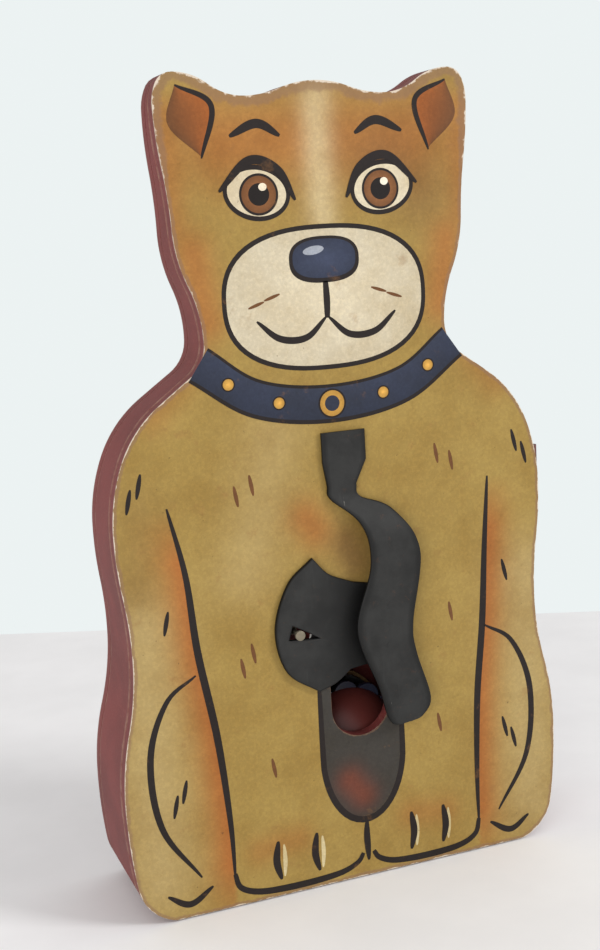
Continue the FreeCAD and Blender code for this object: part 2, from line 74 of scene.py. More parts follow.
# All lengths in millimetres; the meshes are made in metres
MM = 0.001
FRONT = -15.65
BOARD_FRONT = -15.40
BOARD_BACK = -12.40
SEAM = -12.15
BACK = 15.65
SLOPE = 0.12875
BACK_T = 3.0
WALL = 2.4
DOOR_LIFT = 0.4
HINGE_X = 51.5
HINGE_Y = -11.1
HINGE_PLANE = -10.0
HINGE_ZS = (28.0, 87.0)
RELIEF_R = 2.0
RELIEF_TOP = 113.6
NOTCH_REACH = 8.2
JACK_X = 4.0
JACK_Z = 30.0
SPRING_BACK = 4.89
SPRING_FRONT = -2.05
JACK_TRAVEL = 61.5
STUD_X = -11.3
STUD_Z = 60.5
STUD_HOLE_R = 3.2
PLATE_BACK = -15.95
PLATE_FRONT = -16.85
LEVER_BACK = -19.15
PIVOT_X = 1.8
PIVOT_Z = 100.6

# Sitting outline, right half: x, z and heading in degrees
HALF_OUTLINE = [
    (40.5, 0.0, 0.0), (52.6, 28.0, 90.0), (48.4, 61.0, 90.0), (50.3, 87.0, 90.0), (38.5, 113.6, 144.0),
    (27.8, 125.6, 90.0), (32.9, 149.0, 88.0), (35.1, 173.5, 89.0), (30.8, 180.2, 180.0), (15.6, 175.2, 180.0)]
CROWN = (0.0, 178.0, 180.0)
SLOT_CENTRE = complex(2.9, 51.15)
SLOT_R = 7.1
SLOT_STRAIGHT = 9.75
RAY_CENTRE = complex(0.0, 66.6)
BELLY_CENTRE = complex(2.9, 30.0)
BELLY_HALF = 9.8
BELLY_DROP = 16.0
BACK_CENTRE = complex(0.0, 88.0)
PLATE_CENTRE = complex(-9.4, 59.9)
# Lever's edges below its tab: waist, bulges, hollows and toe
LEVER_RIGHT = [(4.3, 92.4), (5, 89.5), (12, 86), (17.5, 76), (15, 60), (15.5, 53), (18.5, 42), (16.5, 38),
               (13.3, 37)]
LEVER_LEFT = [(-2.5, 92.4), (-2, 89.5), (4, 83.5), (5.5, 74), (1.5, 60), (6, 46), (8.5, 37.5), (13.2, 37)]
MOON_LEFT = [(-7.1, 77.1), (-13.2, 71.8), (-16.6, 62.0), (-14.4, 52.2), (-7.2, 46.6)]


def srgb(red, green, blue):
    """Linear colour for a colour given as 0 to 255."""
    share = np.array([red, green, blue]) / 255.0
    linear = np.where(share <= 0.04045, share / 12.92, ((share + 0.055) / 1.055) ** 2.4)
    return tuple(float(v) for v in linear)


class BoxSizes(bpy.types.PropertyGroup):
    """Sizes of the visible surfaces."""
    edge_round: bpy.props.FloatProperty(
        name="Edge round", description="Rounding of the pasteboard's edges", default=0.0003, unit='LENGTH')
    ink_lift: bpy.props.FloatProperty(
        name="Ink lift", description="Height of one layer of printed colour", default=0.000012, unit='LENGTH')
    wear_width: bpy.props.FloatProperty(
        name="Wear width", description="Width of the rubbed border", default=0.0014, unit='LENGTH')
    wire_radius: bpy.props.FloatProperty(
        name="Wire radius", description="Radius of the jack's spring wire", default=0.00045, unit='LENGTH')


class BoxColours(bpy.types.PropertyGroup):
    """Colours of paper, ink, board and metal."""
    tan: bpy.props.FloatVectorProperty(
        name="Tan", description="Ground colour of the print", subtype='COLOR', default=srgb(151, 126, 67))
    cream: bpy.props.FloatVectorProperty(
        name="Cream", description="Light fur", subtype='COLOR', default=srgb(196, 178, 138))
    orange: bpy.props.FloatVectorProperty(
        name="Orange", description="Sprayed shading", subtype='COLOR', default=srgb(158, 90, 40))
    brown: bpy.props.FloatVectorProperty(
        name="Brown", description="Dark fur", subtype='COLOR', default=srgb(104, 68, 40))
    ink: bpy.props.FloatVectorProperty(
        name="Ink", description="Drawn lines", subtype='COLOR', default=srgb(34, 28, 27))
    navy: bpy.props.FloatVectorProperty(
        name="Navy", description="Collar and nose", subtype='COLOR', default=srgb(46, 52, 70))
    belly: bpy.props.FloatVectorProperty(
        name="Belly", description="Grey shade between the legs", subtype='COLOR', default=srgb(57, 54, 50))
    maroon: bpy.props.FloatVectorProperty(
        name="Maroon", description="Painted pasteboard", subtype='COLOR', default=srgb(114, 52, 49))
    worn: bpy.props.FloatVectorProperty(
        name="Worn", description="Rubbed edges", subtype='COLOR', default=srgb(150, 118, 102))
    steel: bpy.props.FloatVectorProperty(
        name="Steel", description="Oxidised sheet steel", subtype='COLOR', default=srgb(47, 47, 46))


def sizes():
    return bpy.context.scene.box_sizes


def colours():
    return bpy.context.scene.box_colours


# Plane curves as complex numbers, x + z i

def arc(start, heading, end, count):
    """Points of the arc that leaves start along heading and ends at end.
    With half turn a and arc length s, the point at share f is
    start + heading s f exp(i a f) sin(a f) / (a f)."""
    chord = end - start
    half = np.angle(chord / heading)
    length = abs(chord) / np.sinc(half / np.pi)
    share = np.linspace(0, 1, count)
    return start + heading * length * share * np.exp(1j * half * share) * np.sinc(half * share / np.pi)


def biarc(start, out, end, into, count=60):
    """Two tangent arcs from start, leaving along out, to end, arriving along into."""
    gap = end - start
    a = 2 * (1 - (out * into.conjugate()).real)
    b = (gap * (out + into).conjugate()).real
    c = abs(gap) ** 2
    reach = c / (2 * b) if a < 1e-9 else (math.sqrt(b * b + a * c) - b) / a
    middle = (start + out * reach + end - into * reach) / 2
    turn = end - into * reach - middle
    first = arc(start, out, middle, count)
    second = arc(middle, turn / abs(turn), end, count)
    return np.concatenate([first[:-1], second[:-1]])


def resample(points, count, closed=False):
    """The same curve with evenly spaced points."""
    points = np.append(points, points[0]) if closed else np.asarray(points)
    along = np.concatenate([[0], np.cumsum(np.abs(np.diff(points)))])
    want = np.linspace(0, along[-1], count, endpoint=not closed)
    return np.interp(want, along, points.real) + 1j * np.interp(want, along, points.imag)


def outline(count):
    """Closed outline from the right bottom corner, anticlockwise, evenly spaced."""
    left = [(-x, z, -heading) for x, z, heading in reversed(HALF_OUTLINE)]
    stations = HALF_OUTLINE + [CROWN] + left
    runs = []
    for here, there in zip(stations, stations[1:] + stations[:1]):
        ends = [(complex(x, z), np.exp(1j * math.radians(turn))) for x, z, turn in (here, there)]
        runs.append(biarc(*ends[0], *ends[1]))
    return resample(np.concatenate(runs), count, closed=True)


def smooth_curve(points, count):
    """Smooth curve through points given as (x, z): each span is a cubic, sloped as its neighbours' chord."""
    p = np.array([complex(*q) for q in points])
    p = np.concatenate([[2 * p[0] - p[1]], p, [2 * p[-1] - p[-2]]])
    t = np.linspace(0, 1, 24, endpoint=False)[None, :]
    a, b, c, d = p[:-3, None], p[1:-2, None], p[2:-1, None], p[3:, None]
    spans = b + 0.5 * t * ((c - a) + t * ((2 * a - 5 * b + 4 * c - d) + t * (3 * (b - c) + d - a)))
    return resample(np.append(spans.ravel(), p[-2]), count)


def inner_points(centre, outer, polygon):
    """Where the rays from centre to the outer points cross the polygon."""
    direction = ((outer - centre) / np.abs(outer - centre))[:, None]
    start = (polygon - centre)[None, :]
    edge = (np.roll(polygon, -1) - polygon)[None, :]
    cross = (direction.conjugate() * edge).imag
    cross = np.where(np.abs(cross) < 1e-12, 1e-12, cross)
    reach = (start.conjugate() * edge).imag / cross
    where = (start.conjugate() * direction).imag / cross
    hit = (where >= -1e-6) & (where <= 1 + 1e-6) & (reach > 0)
    return centre + direction[:, 0] * np.where(hit, reach, 1e9).min(axis=1)


def slot_polygon():
    """Upright slot with round ends."""
    turn = np.linspace(-np.pi, 0, 48)
    low = SLOT_CENTRE - 1j * SLOT_STRAIGHT + SLOT_R * np.exp(1j * turn)
    high = SLOT_CENTRE + 1j * SLOT_STRAIGHT + SLOT_R * np.exp(1j * (turn + np.pi))
    return np.concatenate([low, high])


def back_y(z, inset):
    """Y of the leaning back plane at height z, moved in along its normal."""
    return BACK - SLOPE * z - inset * math.hypot(1, SLOPE)


# Meshes from grids of points

def lattice(rows, columns, wrap_rows=False, wrap_columns=False):
    """Index quads of a grid of points."""
    r = np.arange(rows if wrap_rows else rows - 1)[:, None]
    c = np.arange(columns if wrap_columns else columns - 1)[None, :]
    r1 = (r + 1) % rows
    c1 = (c + 1) % columns
    quads = [r * columns + c, r * columns + c1, r1 * columns + c1, r1 * columns + c]
    return np.stack([np.broadcast_to(q, (r.size, c.size)) for q in quads], axis=-1).reshape(-1, 4)


def to_points(plane, y):
    """Grid of xyz from plane points and depths."""
    plane, y = np.broadcast_arrays(plane, y)
    return np.stack([plane.real, y, plane.imag], axis=-1)


def add_piece(name, points, faces, material, crease=35.0, tints=None, wear_and_shade=None):
    """Mesh object at the origin with outward faces, smooth but for edges sharper than crease."""
    points = np.asarray(points, float).reshape(-1, 3)
    faces = [list(f) for f in faces]
    quads = np.array([(f[0], f[1], f[2], f[-1]) for f in faces])
    corner = points[quads]
    twice = np.cross(corner[:, 1] - corner[:, 0], corner[:, 2] - corner[:, 0])
    twice_b = np.cross(corner[:, 2] - corner[:, 0], corner[:, 3] - corner[:, 0])
    if tints is not None and name.startswith("ink_"):
        turned = (twice + twice_b)[:, 1] > 0
        faces = [f[::-1] if back else f for f, back in zip(faces, turned)]
    elif (corner[:, 0] * (twice + twice_b)).sum() < 0:
        faces = [f[::-1] for f in faces]
    mesh = bpy.data.meshes.new(name)
    mesh.from_pydata((points * MM).tolist(), [], faces)
    mesh.validate()
    mesh.shade_smooth()
    mesh.set_sharp_from_angle(angle=math.radians(crease))
    if tints is not None:
        layer = mesh.attributes.new("tint", 'FLOAT_COLOR', 'POINT')
        colour = np.ones((len(points), 4), np.float32)
        colour[:, :3] = np.asarray(tints).reshape(-1, 3)
        layer.data.foreach_set("color", colour.ravel())
    if wear_and_shade is not None:
        layer = mesh.attributes.new("wear_and_shade", 'FLOAT', 'POINT')
        layer.data.foreach_set("value", np.asarray(wear_and_shade, np.float32).ravel())
    piece = bpy.data.objects.new(name, mesh)
    bpy.context.scene.collection.objects.link(piece)
    mesh.materials.append(material)
    return piece


def tube(loops):
    """Faces of a closed tube: loops (rows, columns) joined along the rows, with a flat cap at each end."""
    rows, columns = loops.shape[:2]
    faces = lattice(rows, columns, wrap_columns=True).tolist()
    faces.append(list(range(columns))[::-1])
    faces.append(list(range((rows - 1) * columns, rows * columns)))
    return faces


def turned(profile, x, z, columns=72):
    """Surface of revolution about a line along Y: profile of (radius, y) pairs, from pole to pole."""
    radius, depth = np.array(profile, float).T
    turn = np.linspace(0, 2 * np.pi, columns, endpoint=False)
    plane = complex(x, z) + radius[:, None] * np.exp(1j * turn)[None, :]
    return to_points(plane, depth[:, None])


def joined(parts):
    """Several (points, faces) pairs as one."""
    points, faces, start = [], [], 0
    for some, few in parts:
        flat = np.asarray(some).reshape(-1, 3)
        points.append(flat)
        faces += [[i + start for i in f] for f in few]
        start += len(flat)
    return np.concatenate(points), faces


# Materials

def link(tree, kind, options=None, sockets=None):
    """New node with its options set and its sockets linked or set."""
    made = tree.nodes.new(kind)
    for name, value in (options or {}).items():
        setattr(made, name, value)
    for name, value in (sockets or {}).items():
        if isinstance(value, bpy.types.NodeSocket):
            tree.links.new(value, made.inputs[name])
        else:
            made.inputs[name].default_value = value
    return made


def noise(tree, scale, detail=4.0, rough=0.55, stretch=None):
    """Noise on object coordinates, in spots of about one over scale metres, stretched if asked."""
    place = link(tree, "ShaderNodeTexCoord").outputs["Object"]
    if stretch:
        place = link(tree, "ShaderNodeMapping", {}, {"Vector": place, "Scale": stretch}).outputs[0]
    return link(tree, "ShaderNodeTexNoise", {}, {
        "Vector": place, "Scale": scale, "Detail": detail, "Roughness": rough}).outputs["Fac"]


def band(tree, value, low, high):
    """0 below low, 1 above high, smooth between."""
    return link(tree, "ShaderNodeMapRange", {"interpolation_type": 'SMOOTHSTEP'}, {
        "Value": value, "From Min": low, "From Max": high}).outputs["Result"]


def calc(tree, operation, a, b):
    return link(tree, "ShaderNodeMath", {"operation": operation}, {0: a, 1: b}).outputs[0]


def blend(tree, share, under, over, mode='MIX'):
    """Colour over laid on colour under by share."""
    under = (*under, 1.0) if isinstance(under, tuple) else under
    over = (*over, 1.0) if isinstance(over, tuple) else over
    return link(tree, "ShaderNodeMix", {"data_type": 'RGBA', "blend_type": mode}, {
        0: share, 6: under, 7: over}).outputs[2]


def laid(tree, share, strength, under, over):
    """Colour over laid on colour under by share times strength."""
    return blend(tree, calc(tree, 'MULTIPLY', share, strength), under, over)


def tinted(tree, colour, by):
    """Colour multiplied by a plain tint."""
    return blend(tree, 1.0, colour, by, 'MULTIPLY')


def ranged(tree, value, low, high):
    """Value from 0 to 1 stretched to run from low to high."""
    return link(tree, "ShaderNodeMapRange", {}, {
        "Value": value, "To Min": low, "To Max": high}).outputs["Result"]


def attribute(tree, name, output):
    """A value or colour stored on the mesh's points."""
    return link(tree, "ShaderNodeAttribute", {"attribute_name": name}).outputs[output]


def scaled(colour, share):
    return tuple(float(c) * share for c in colour)


def finish_material(tree, material, colour, rough, metal=0.0, bump=None, depth=0.0001, specular=0.4):
    """Shader with a colour, a roughness and a small relief."""
    sockets = {"Base Color": colour if not isinstance(colour, tuple) else (*colour, 1.0),
               "Roughness": rough, "Metallic": metal, "Specular IOR Level": specular}
    if bump is not None:
        sockets["Normal"] = link(tree, "ShaderNodeBump", {}, {
            "Strength": 0.6, "Distance": depth, "Height": bump}).outputs[0]
    shader = link(tree, "ShaderNodeBsdfPrincipled", {}, sockets)
    link(tree, "ShaderNodeOutputMaterial", {}, {"Surface": shader.outputs[0]})
    return material


def start_material(name):
    """The finish of that name, and its node tree if it is new."""
    material = bpy.data.materials.get("finish_" + name)
    if material:
        return material, None
    material = bpy.data.materials.new("finish_" + name)
    material.use_nodes = True
    material.node_tree.nodes.clear()
    return material, material.node_tree


def printed_paper():
    """Old varnished paper: the printed tint, foxed and grained, rubbed to bare white card along the rim."""
    material, tree = start_material("printed_paper")
    if tree is None:
        return material
    tint = attribute(tree, "tint", "Color")
    wear_and_shade = attribute(tree, "wear_and_shade", "Fac")
    grain = noise(tree, 1500, 4, 0.7)
    cloud = noise(tree, 60, 6, 0.65)
    fox = band(tree, noise(tree, 210, 5, 0.65), 0.6, 0.74)
    colour = blend(tree, band(tree, cloud, 0.3, 0.75), tint, tinted(tree, tint, (0.80, 0.74, 0.64)))
    colour = laid(tree, fox, 0.3, colour, srgb(132, 92, 52))
    colour = laid(tree, band(tree, grain, 0.42, 0.66), 0.42, colour,
                   tinted(tree, colour, (1.35, 1.35, 1.3)))
    dirt = band(tree, noise(tree, 700, 5, 0.75), 0.52, 0.72)
    colour = laid(tree, dirt, 0.3, colour, tinted(tree, colour, (0.6, 0.56, 0.5)))
    speck = band(tree, noise(tree, 900, 2), 0.72, 0.78)
    colour = laid(tree, speck, 0.5, colour, srgb(70, 48, 34))
    ragged = calc(tree, 'ADD', wear_and_shade, calc(tree, 'MULTIPLY', noise(tree, 260, 6, 0.75), 1.1))
    colour = laid(tree, band(tree, ragged, 0.85, 1.15), 0.6, colour, srgb(128, 98, 76))
    bare = band(tree, ragged, 1.44, 1.54)
    colour = blend(tree, bare, colour, srgb(202, 188, 170))
    rough = ranged(tree, cloud, 0.42, 0.62)
    height = calc(tree, 'SUBTRACT', calc(tree, 'MULTIPLY', grain, 0.25), calc(tree, 'MULTIPLY', bare, 0.6))
    return finish_material(tree, material, colour, rough, 0.0, height, 0.00006, 0.22)


def maroon_board():
    """Maroon paint on pasteboard: dusty, mottled, scuffed, rubbed to brown along its edges."""
    material, tree = start_material("maroon_pasteboard")
    if tree is None:
        return material
    maroon = tuple(colours().maroon)
    wear_and_shade = attribute(tree, "wear_and_shade", "Fac")
    cloud = noise(tree, 70, 5, 0.6)
    fine = noise(tree, 1700, 3)
    colour = blend(tree, band(tree, cloud, 0.3, 0.7), scaled(maroon, 0.86), scaled(maroon, 1.16))
    colour = laid(tree, band(tree, fine, 0.5, 0.72), 0.22, colour, srgb(165, 112, 104))
    scuff = band(tree, noise(tree, 260, 5, 0.7, (1.0, 1.0, 0.25)), 0.66, 0.76)
    colour = laid(tree, scuff, 0.45, colour, srgb(90, 48, 46))
    ragged = calc(tree, 'ADD', wear_and_shade, calc(tree, 'MULTIPLY', noise(tree, 420, 5, 0.7), 0.8))
    colour = laid(tree, band(tree, ragged, 0.85, 1.3), 0.75, colour, tuple(colours().worn))
    rough = ranged(tree, fine, 0.5, 0.75)
    return finish_material(tree, material, colour, rough, 0.0, fine, 0.00008, 0.3)


def grained(name, colour, dark, scale=220, stretch=(0.12, 1.0, 1.0), rough=0.7):
    """Bare wood or board with stretched grain."""
    material, tree = start_material(name)
    if tree is None:
        return material
    grain = noise(tree, scale, 6, 0.6, stretch)
    pores = noise(tree, scale * 6, 2, 0.5, stretch)
    mixed = blend(tree, band(tree, grain, 0.35, 0.68), colour, dark)
    mixed = laid(tree, band(tree, pores, 0.55, 0.7), 0.4, mixed, scaled(dark, 0.7))
    return finish_material(tree, material, mixed, rough, 0.0, grain, 0.0001, 0.3)


def sheet_metal(name, colour, metal, rough, rust=0.25):
    """Dulled metal: cloudy oxide, brushed scratches and small rust spots, darkened nearly to black where the
    mesh's stored share says: painted shade on the catch plate, darker edges on the lever.
    """
    material, tree = start_material(name)
    if tree is None:
        return material
    cloud = noise(tree, 160, 6, 0.65)
    brushed = noise(tree, 900, 3, 0.5, (1.0, 1.0, 0.08))
    spots = band(tree, noise(tree, 520, 5, 0.7), 0.6, 0.7)
    mixed = blend(tree, band(tree, cloud, 0.3, 0.7), scaled(colour, 0.72), scaled(colour, 1.25))
    mixed = laid(tree, band(tree, brushed, 0.6, 0.75), 0.3, mixed, scaled(colour, 1.7))
    mixed = laid(tree, spots, rust, mixed, srgb(96, 66, 48))
    scratch = band(tree, noise(tree, 300, 4, 0.6, (2.2, 1.0, 0.35)), 0.7, 0.74)
    mixed = laid(tree, scratch, 0.35, mixed, srgb(170, 166, 156))
    # Darkens the metal nearly to black by the stored share: painted shade on the catch plate, darker edges on
    # the lever.
    wear_and_shade = attribute(tree, "wear_and_shade", "Fac")
    mixed = blend(tree, wear_and_shade, mixed, scaled(colour, 0.16))
    glow = ranged(tree, cloud, rough - 0.1, rough + 0.15)
    return finish_material(tree, material, mixed, glow, metal, cloud, 0.00006, 0.5)


def painted(name, colour, chip):
    """Old gloss paint with fine crazing and chips."""
    material, tree = start_material(name)
    if tree is None:
        return material
    cloud = noise(tree, 130, 4)
    chips = band(tree, noise(tree, 420, 5, 0.7), 0.66, 0.7)
    mixed = blend(tree, band(tree, cloud, 0.3, 0.7), scaled(colour, 0.9), scaled(colour, 1.1))
    mixed = laid(tree, chips, 0.7, mixed, chip)
    return finish_material(tree, material, mixed, 0.42, 0.0, chips, 0.00005, 0.45)


def dull_steel():
    return sheet_metal("dull_steel", tuple(colours().steel), 0.55, 0.56)


# Printed design, drawn in layers on the front plane

class Ink:
    """Collects flat printed shapes as points, faces and tints."""

    def __init__(self):
        self.parts = []
        self.tints = []

    def add(self, plane, faces, tints, layer):
        lift = FRONT - 1000 * sizes().ink_lift * (1 + layer)
        self.parts.append((to_points(plane, lift), faces))
        tints = np.broadcast_to(np.asarray(tints, float), (plane.size, 3))
        self.tints.append(tints)

    def disc(self, centre, rx, rz, tint, layer, turn=0.0, power=2.0, middle=None):
        """Rounded patch |x/rx|^power + |z/rz|^power = 1 about centre, turned, with its own middle tint."""
        sides = 72
        angle = np.linspace(0, 2 * np.pi, sides, endpoint=False)
        c, s = np.cos(angle), np.sin(angle)
        reach = (np.abs(c) ** power + np.abs(s) ** power) ** (-1 / power)
        rim = complex(*centre) + (rx * reach * c + 1j * rz * reach * s) * np.exp(1j * math.radians(turn))
        plane = np.append(rim, complex(*centre))
        order = np.arange(sides)
        faces = np.stack([order, np.roll(order, -1), np.full(sides, sides)], axis=1).tolist()
        tints = np.tile(np.asarray(tint, float), (sides + 1, 1))
        tints[sides] = tint if middle is None else middle
        self.add(plane, faces, tints, layer)

    def strip(self, one_side, other_side, tint, layer, other_tint=None):
        """Patch between two smooth curves."""
        rows = np.stack([smooth_curve(one_side, 60), smooth_curve(other_side, 60)])
        share = np.linspace(0, 1, 9)[:, None]
        plane = rows[0] * (1 - share) + rows[1] * share
        far = tint if other_tint is None else other_tint
        tints = np.asarray(tint) * (1 - share[..., None]) + np.asarray(far) * share[..., None]
        tints = np.broadcast_to(tints, plane.shape + (3,)).reshape(-1, 3)
        self.add(plane.ravel(), lattice(9, 60).tolist(), tints, layer)

    def stroke(self, points, width, tint, layer, ends=0.25):
        """Brush line along a smooth curve, full in the middle and thin at its ends."""
        path = smooth_curve(points, 48)
        ahead = np.gradient(path)
        side = 1j * ahead / np.abs(ahead)
        share = np.linspace(0, 1, 48)
        half = width / 2 * (ends + (1 - ends) * np.sin(np.pi * share) ** 0.6)
        plane = np.stack([path + side * half, path - side * half])
        self.add(plane.ravel(), lattice(2, 48).tolist(), tint, layer)

    def piece(self, name):
        points, faces = joined(self.parts)
        made = add_piece(name, points, faces, printed_paper(), tints=np.concatenate(self.tints))
        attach(made, "door")
        return made


def both(points):
    """The points and their mirror image about X = 0."""
    return [points, on_side(-1, points)]


def on_side(side, points):
    """The points of a right half on the right (1) or the left (-1)."""
    return [(side * x, z) for x, z in points]


def near_line(plane, points, radius):
    """Soft closeness of each plane point to a broken line: exp(-(distance / radius)^2)."""
    path = np.array([complex(*p) for p in points])
    start, run = path[:-1], np.diff(path)
    offset = plane[..., None] - start
    share = np.clip((offset * run.conjugate()).real / np.abs(run) ** 2, 0, 1)
    return np.exp(-(np.abs(offset - share * run).min(axis=-1) / radius) ** 2)


def lay(ground, colour, share):
    """Colour laid over the ground by share."""
    return ground + (np.asarray(colour) - ground) * share[..., None]


# Outer lines of the drawn forelegs, from the shoulder down
LEG_LINES = [[(-38.6, 92), (-35.6, 77), (-34.2, 60), (-31.2, 40), (-29.6, 20), (-29.4, 7)],
             [(37.0, 90), (35.6, 73), (34.4, 56), (32.4, 38), (31.6, 20), (31.6, 7)]]


def belly_share(plane):
    """1 inside the grey shade round the slot, 0 outside: upright sides, half an ellipse below."""
    offset = plane - BELLY_CENTRE
    reach = np.hypot(offset.real / BELLY_HALF, np.minimum(offset.imag, 0) / BELLY_DROP)
    inside = np.minimum(BELLY_HALF * (1 - reach), 50.0 - plane.imag)
    return np.clip(inside / 0.8 + 0.5, 0, 1)


def print_tints(plane):
    """Soft sprayed colours of the front: tan ground, cream blaze, grey belly, orange and brown shading."""
    c = colours()
    orange = tuple(c.orange)
    tint = np.broadcast_to(np.asarray(tuple(c.tan)), plane.shape + (3,)).copy()
    tint = lay(tint, orange, 0.62 * near_line(plane, [(-21, 166), (21, 166)], 10.0))
    tint = lay(tint, tuple(c.cream), 0.75 * near_line(plane, [(0, 175), (0, 150)], 3.6))
    tint = lay(tint, tuple(c.cream), 0.18 * near_line(plane, [(-14, 104), (-18, 88), (-22, 76)], 8.0))
    for points, radius, share in [
            ([(33, 172), (33, 150)], 3.6, 0.45), ([(29, 144), (27, 130)], 4.6, 0.6),
            ([(31, 122), (40, 112)], 4.2, 0.3),
            ([(23, 12), (14, 13)], 3.6, 0.35)]:
        for line in both(points):
            tint = lay(tint, orange, share * near_line(plane, line, radius))
    for haunch in both([(46, 66), (46, 10)]):
        tint = lay(tint, tuple(c.cream), 0.26 * near_line(plane, haunch, 9.0))
    tint = lay(tint, orange, 0.6 * near_line(plane, [(-7.6, 86), (-5.6, 83)], 4.4))
    tint = lay(tint, tuple(c.brown), 0.55 * near_line(plane, [(1.5, 79), (4.0, 75)], 5.0))
    tint = lay(tint, tuple(c.brown), 0.45 * near_line(plane, [(14, 161), (23, 154)], 7.5))
    tint = lay(tint, tuple(c.brown), 0.22 * near_line(plane, [(-45, 92), (-46, 76)], 6.0))
    for line in LEG_LINES:
        x, z = np.array(line[::-1], float).T
        beyond = (plane.real - np.interp(plane.imag, z, x)) * np.sign(x[0])
        spray = np.exp(-(beyond / 5.2) ** 2) * np.clip(beyond / 0.6 + 0.5, 0, 1)
        spray *= np.clip((z[-1] - plane.imag) / 12, 0, 1) * np.clip((plane.imag + 4) / 14, 0, 1)
        tint = lay(tint, orange, 0.85 * spray)
    belly = belly_share(plane)
    tint = lay(tint, tuple(c.belly), belly)
    return lay(tint, srgb(112, 58, 42), 0.75 * belly * near_line(plane, [(-0.6, 24), (2.4, 20)], 3.4))


def drill_stud_hole(piece, context):
    """Cuts the stud's round hole through a flat piece of the door."""
    loops = turned([(0.01, -30), (STUD_HOLE_R, -30), (STUD_HOLE_R, 0), (0.01, 0)], STUD_X, STUD_Z, 48)
    drill = add_piece("drill", loops, tube(loops), piece.data.materials[0])
    cut = piece.modifiers.new("stud hole", 'BOOLEAN')
    cut.object = drill
    cut.operation = 'DIFFERENCE'
    cut.solver = 'EXACT'
    context.view_layer.update()
    shape = bpy.data.meshes.new_from_object(piece.evaluated_get(context.evaluated_depsgraph_get()))
    piece.modifiers.clear()
    piece.data = shape
    shape.shade_smooth()
    shape.set_sharp_from_angle(angle=math.radians(35))
    bpy.data.objects.remove(drill)


# Operators, one for each piece or group of like pieces

class PrintedSheet(bpy.types.Operator):
    """Printed paper on the front board: rays from the belly slot to the outline, closed to a thin sheet"""
    bl_idname = "surprise_box.printed_sheet"
    bl_label = "Printed sheet"

    def execute(self, context):
        rim = outline(640)
        rim = rim.real + 1j * np.maximum(rim.imag, DOOR_LIFT)
        slot = inner_points(RAY_CENTRE, rim, slot_polygon())
        share = np.sin(np.linspace(0, 1, 76) * np.pi / 2)
        plane = slot[:, None] + (rim - slot)[:, None] * share[None, :]
        ray = rim - slot
        to_rim = np.stack([np.abs(ring[:, None] - rim[None, :]).min(axis=1) for ring in plane.T], axis=1)
        to_slot = np.abs(ray)[:, None] * share[None, :]
        rubbed = 1000 * sizes().wear_width * (1 + 1.6 * np.clip((plane.imag - 158) / 12, 0, 1))
        wear_and_shade = np.clip(1 - to_rim / rubbed, 0, 1)
        wear_and_shade = np.maximum(wear_and_shade, 0.6 * np.clip(1 - to_slot / 0.8, 0, 1))
        tint = print_tints(plane)
        # Painted shade about the stud: the print darkens in a round patch behind the catch plate's keyhole,
        # so the keyhole looks dark.
        keyhole_backing_shade = np.clip(5.2 - np.abs(plane - complex(STUD_X + 2.0, STUD_Z)), 0, 1)
        tint = lay(tint, scaled(tuple(colours().ink), 0.3), keyhole_backing_shade)
        plane = np.concatenate([plane, rim[:, None], slot[:, None]], axis=1)
        depth = np.full(plane.shape, FRONT)
        depth[:, -2:] = BOARD_FRONT - 0.01
        wear_and_shade = np.concatenate([wear_and_shade, np.ones((640, 2))], axis=1)
        tint = np.concatenate([tint, tint[:, -1:], tint[:, :1]], axis=1)
        faces = lattice(640, 78, True, True)
        points = to_points(plane, depth)
        sheet = add_piece("printed_sheet", points, faces, printed_paper(), tints=tint, wear_and_shade=wear_and_shade)
        drill_stud_hole(sheet, context)
        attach(sheet, "door")
        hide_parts("front_print")
        return {'FINISHED'}


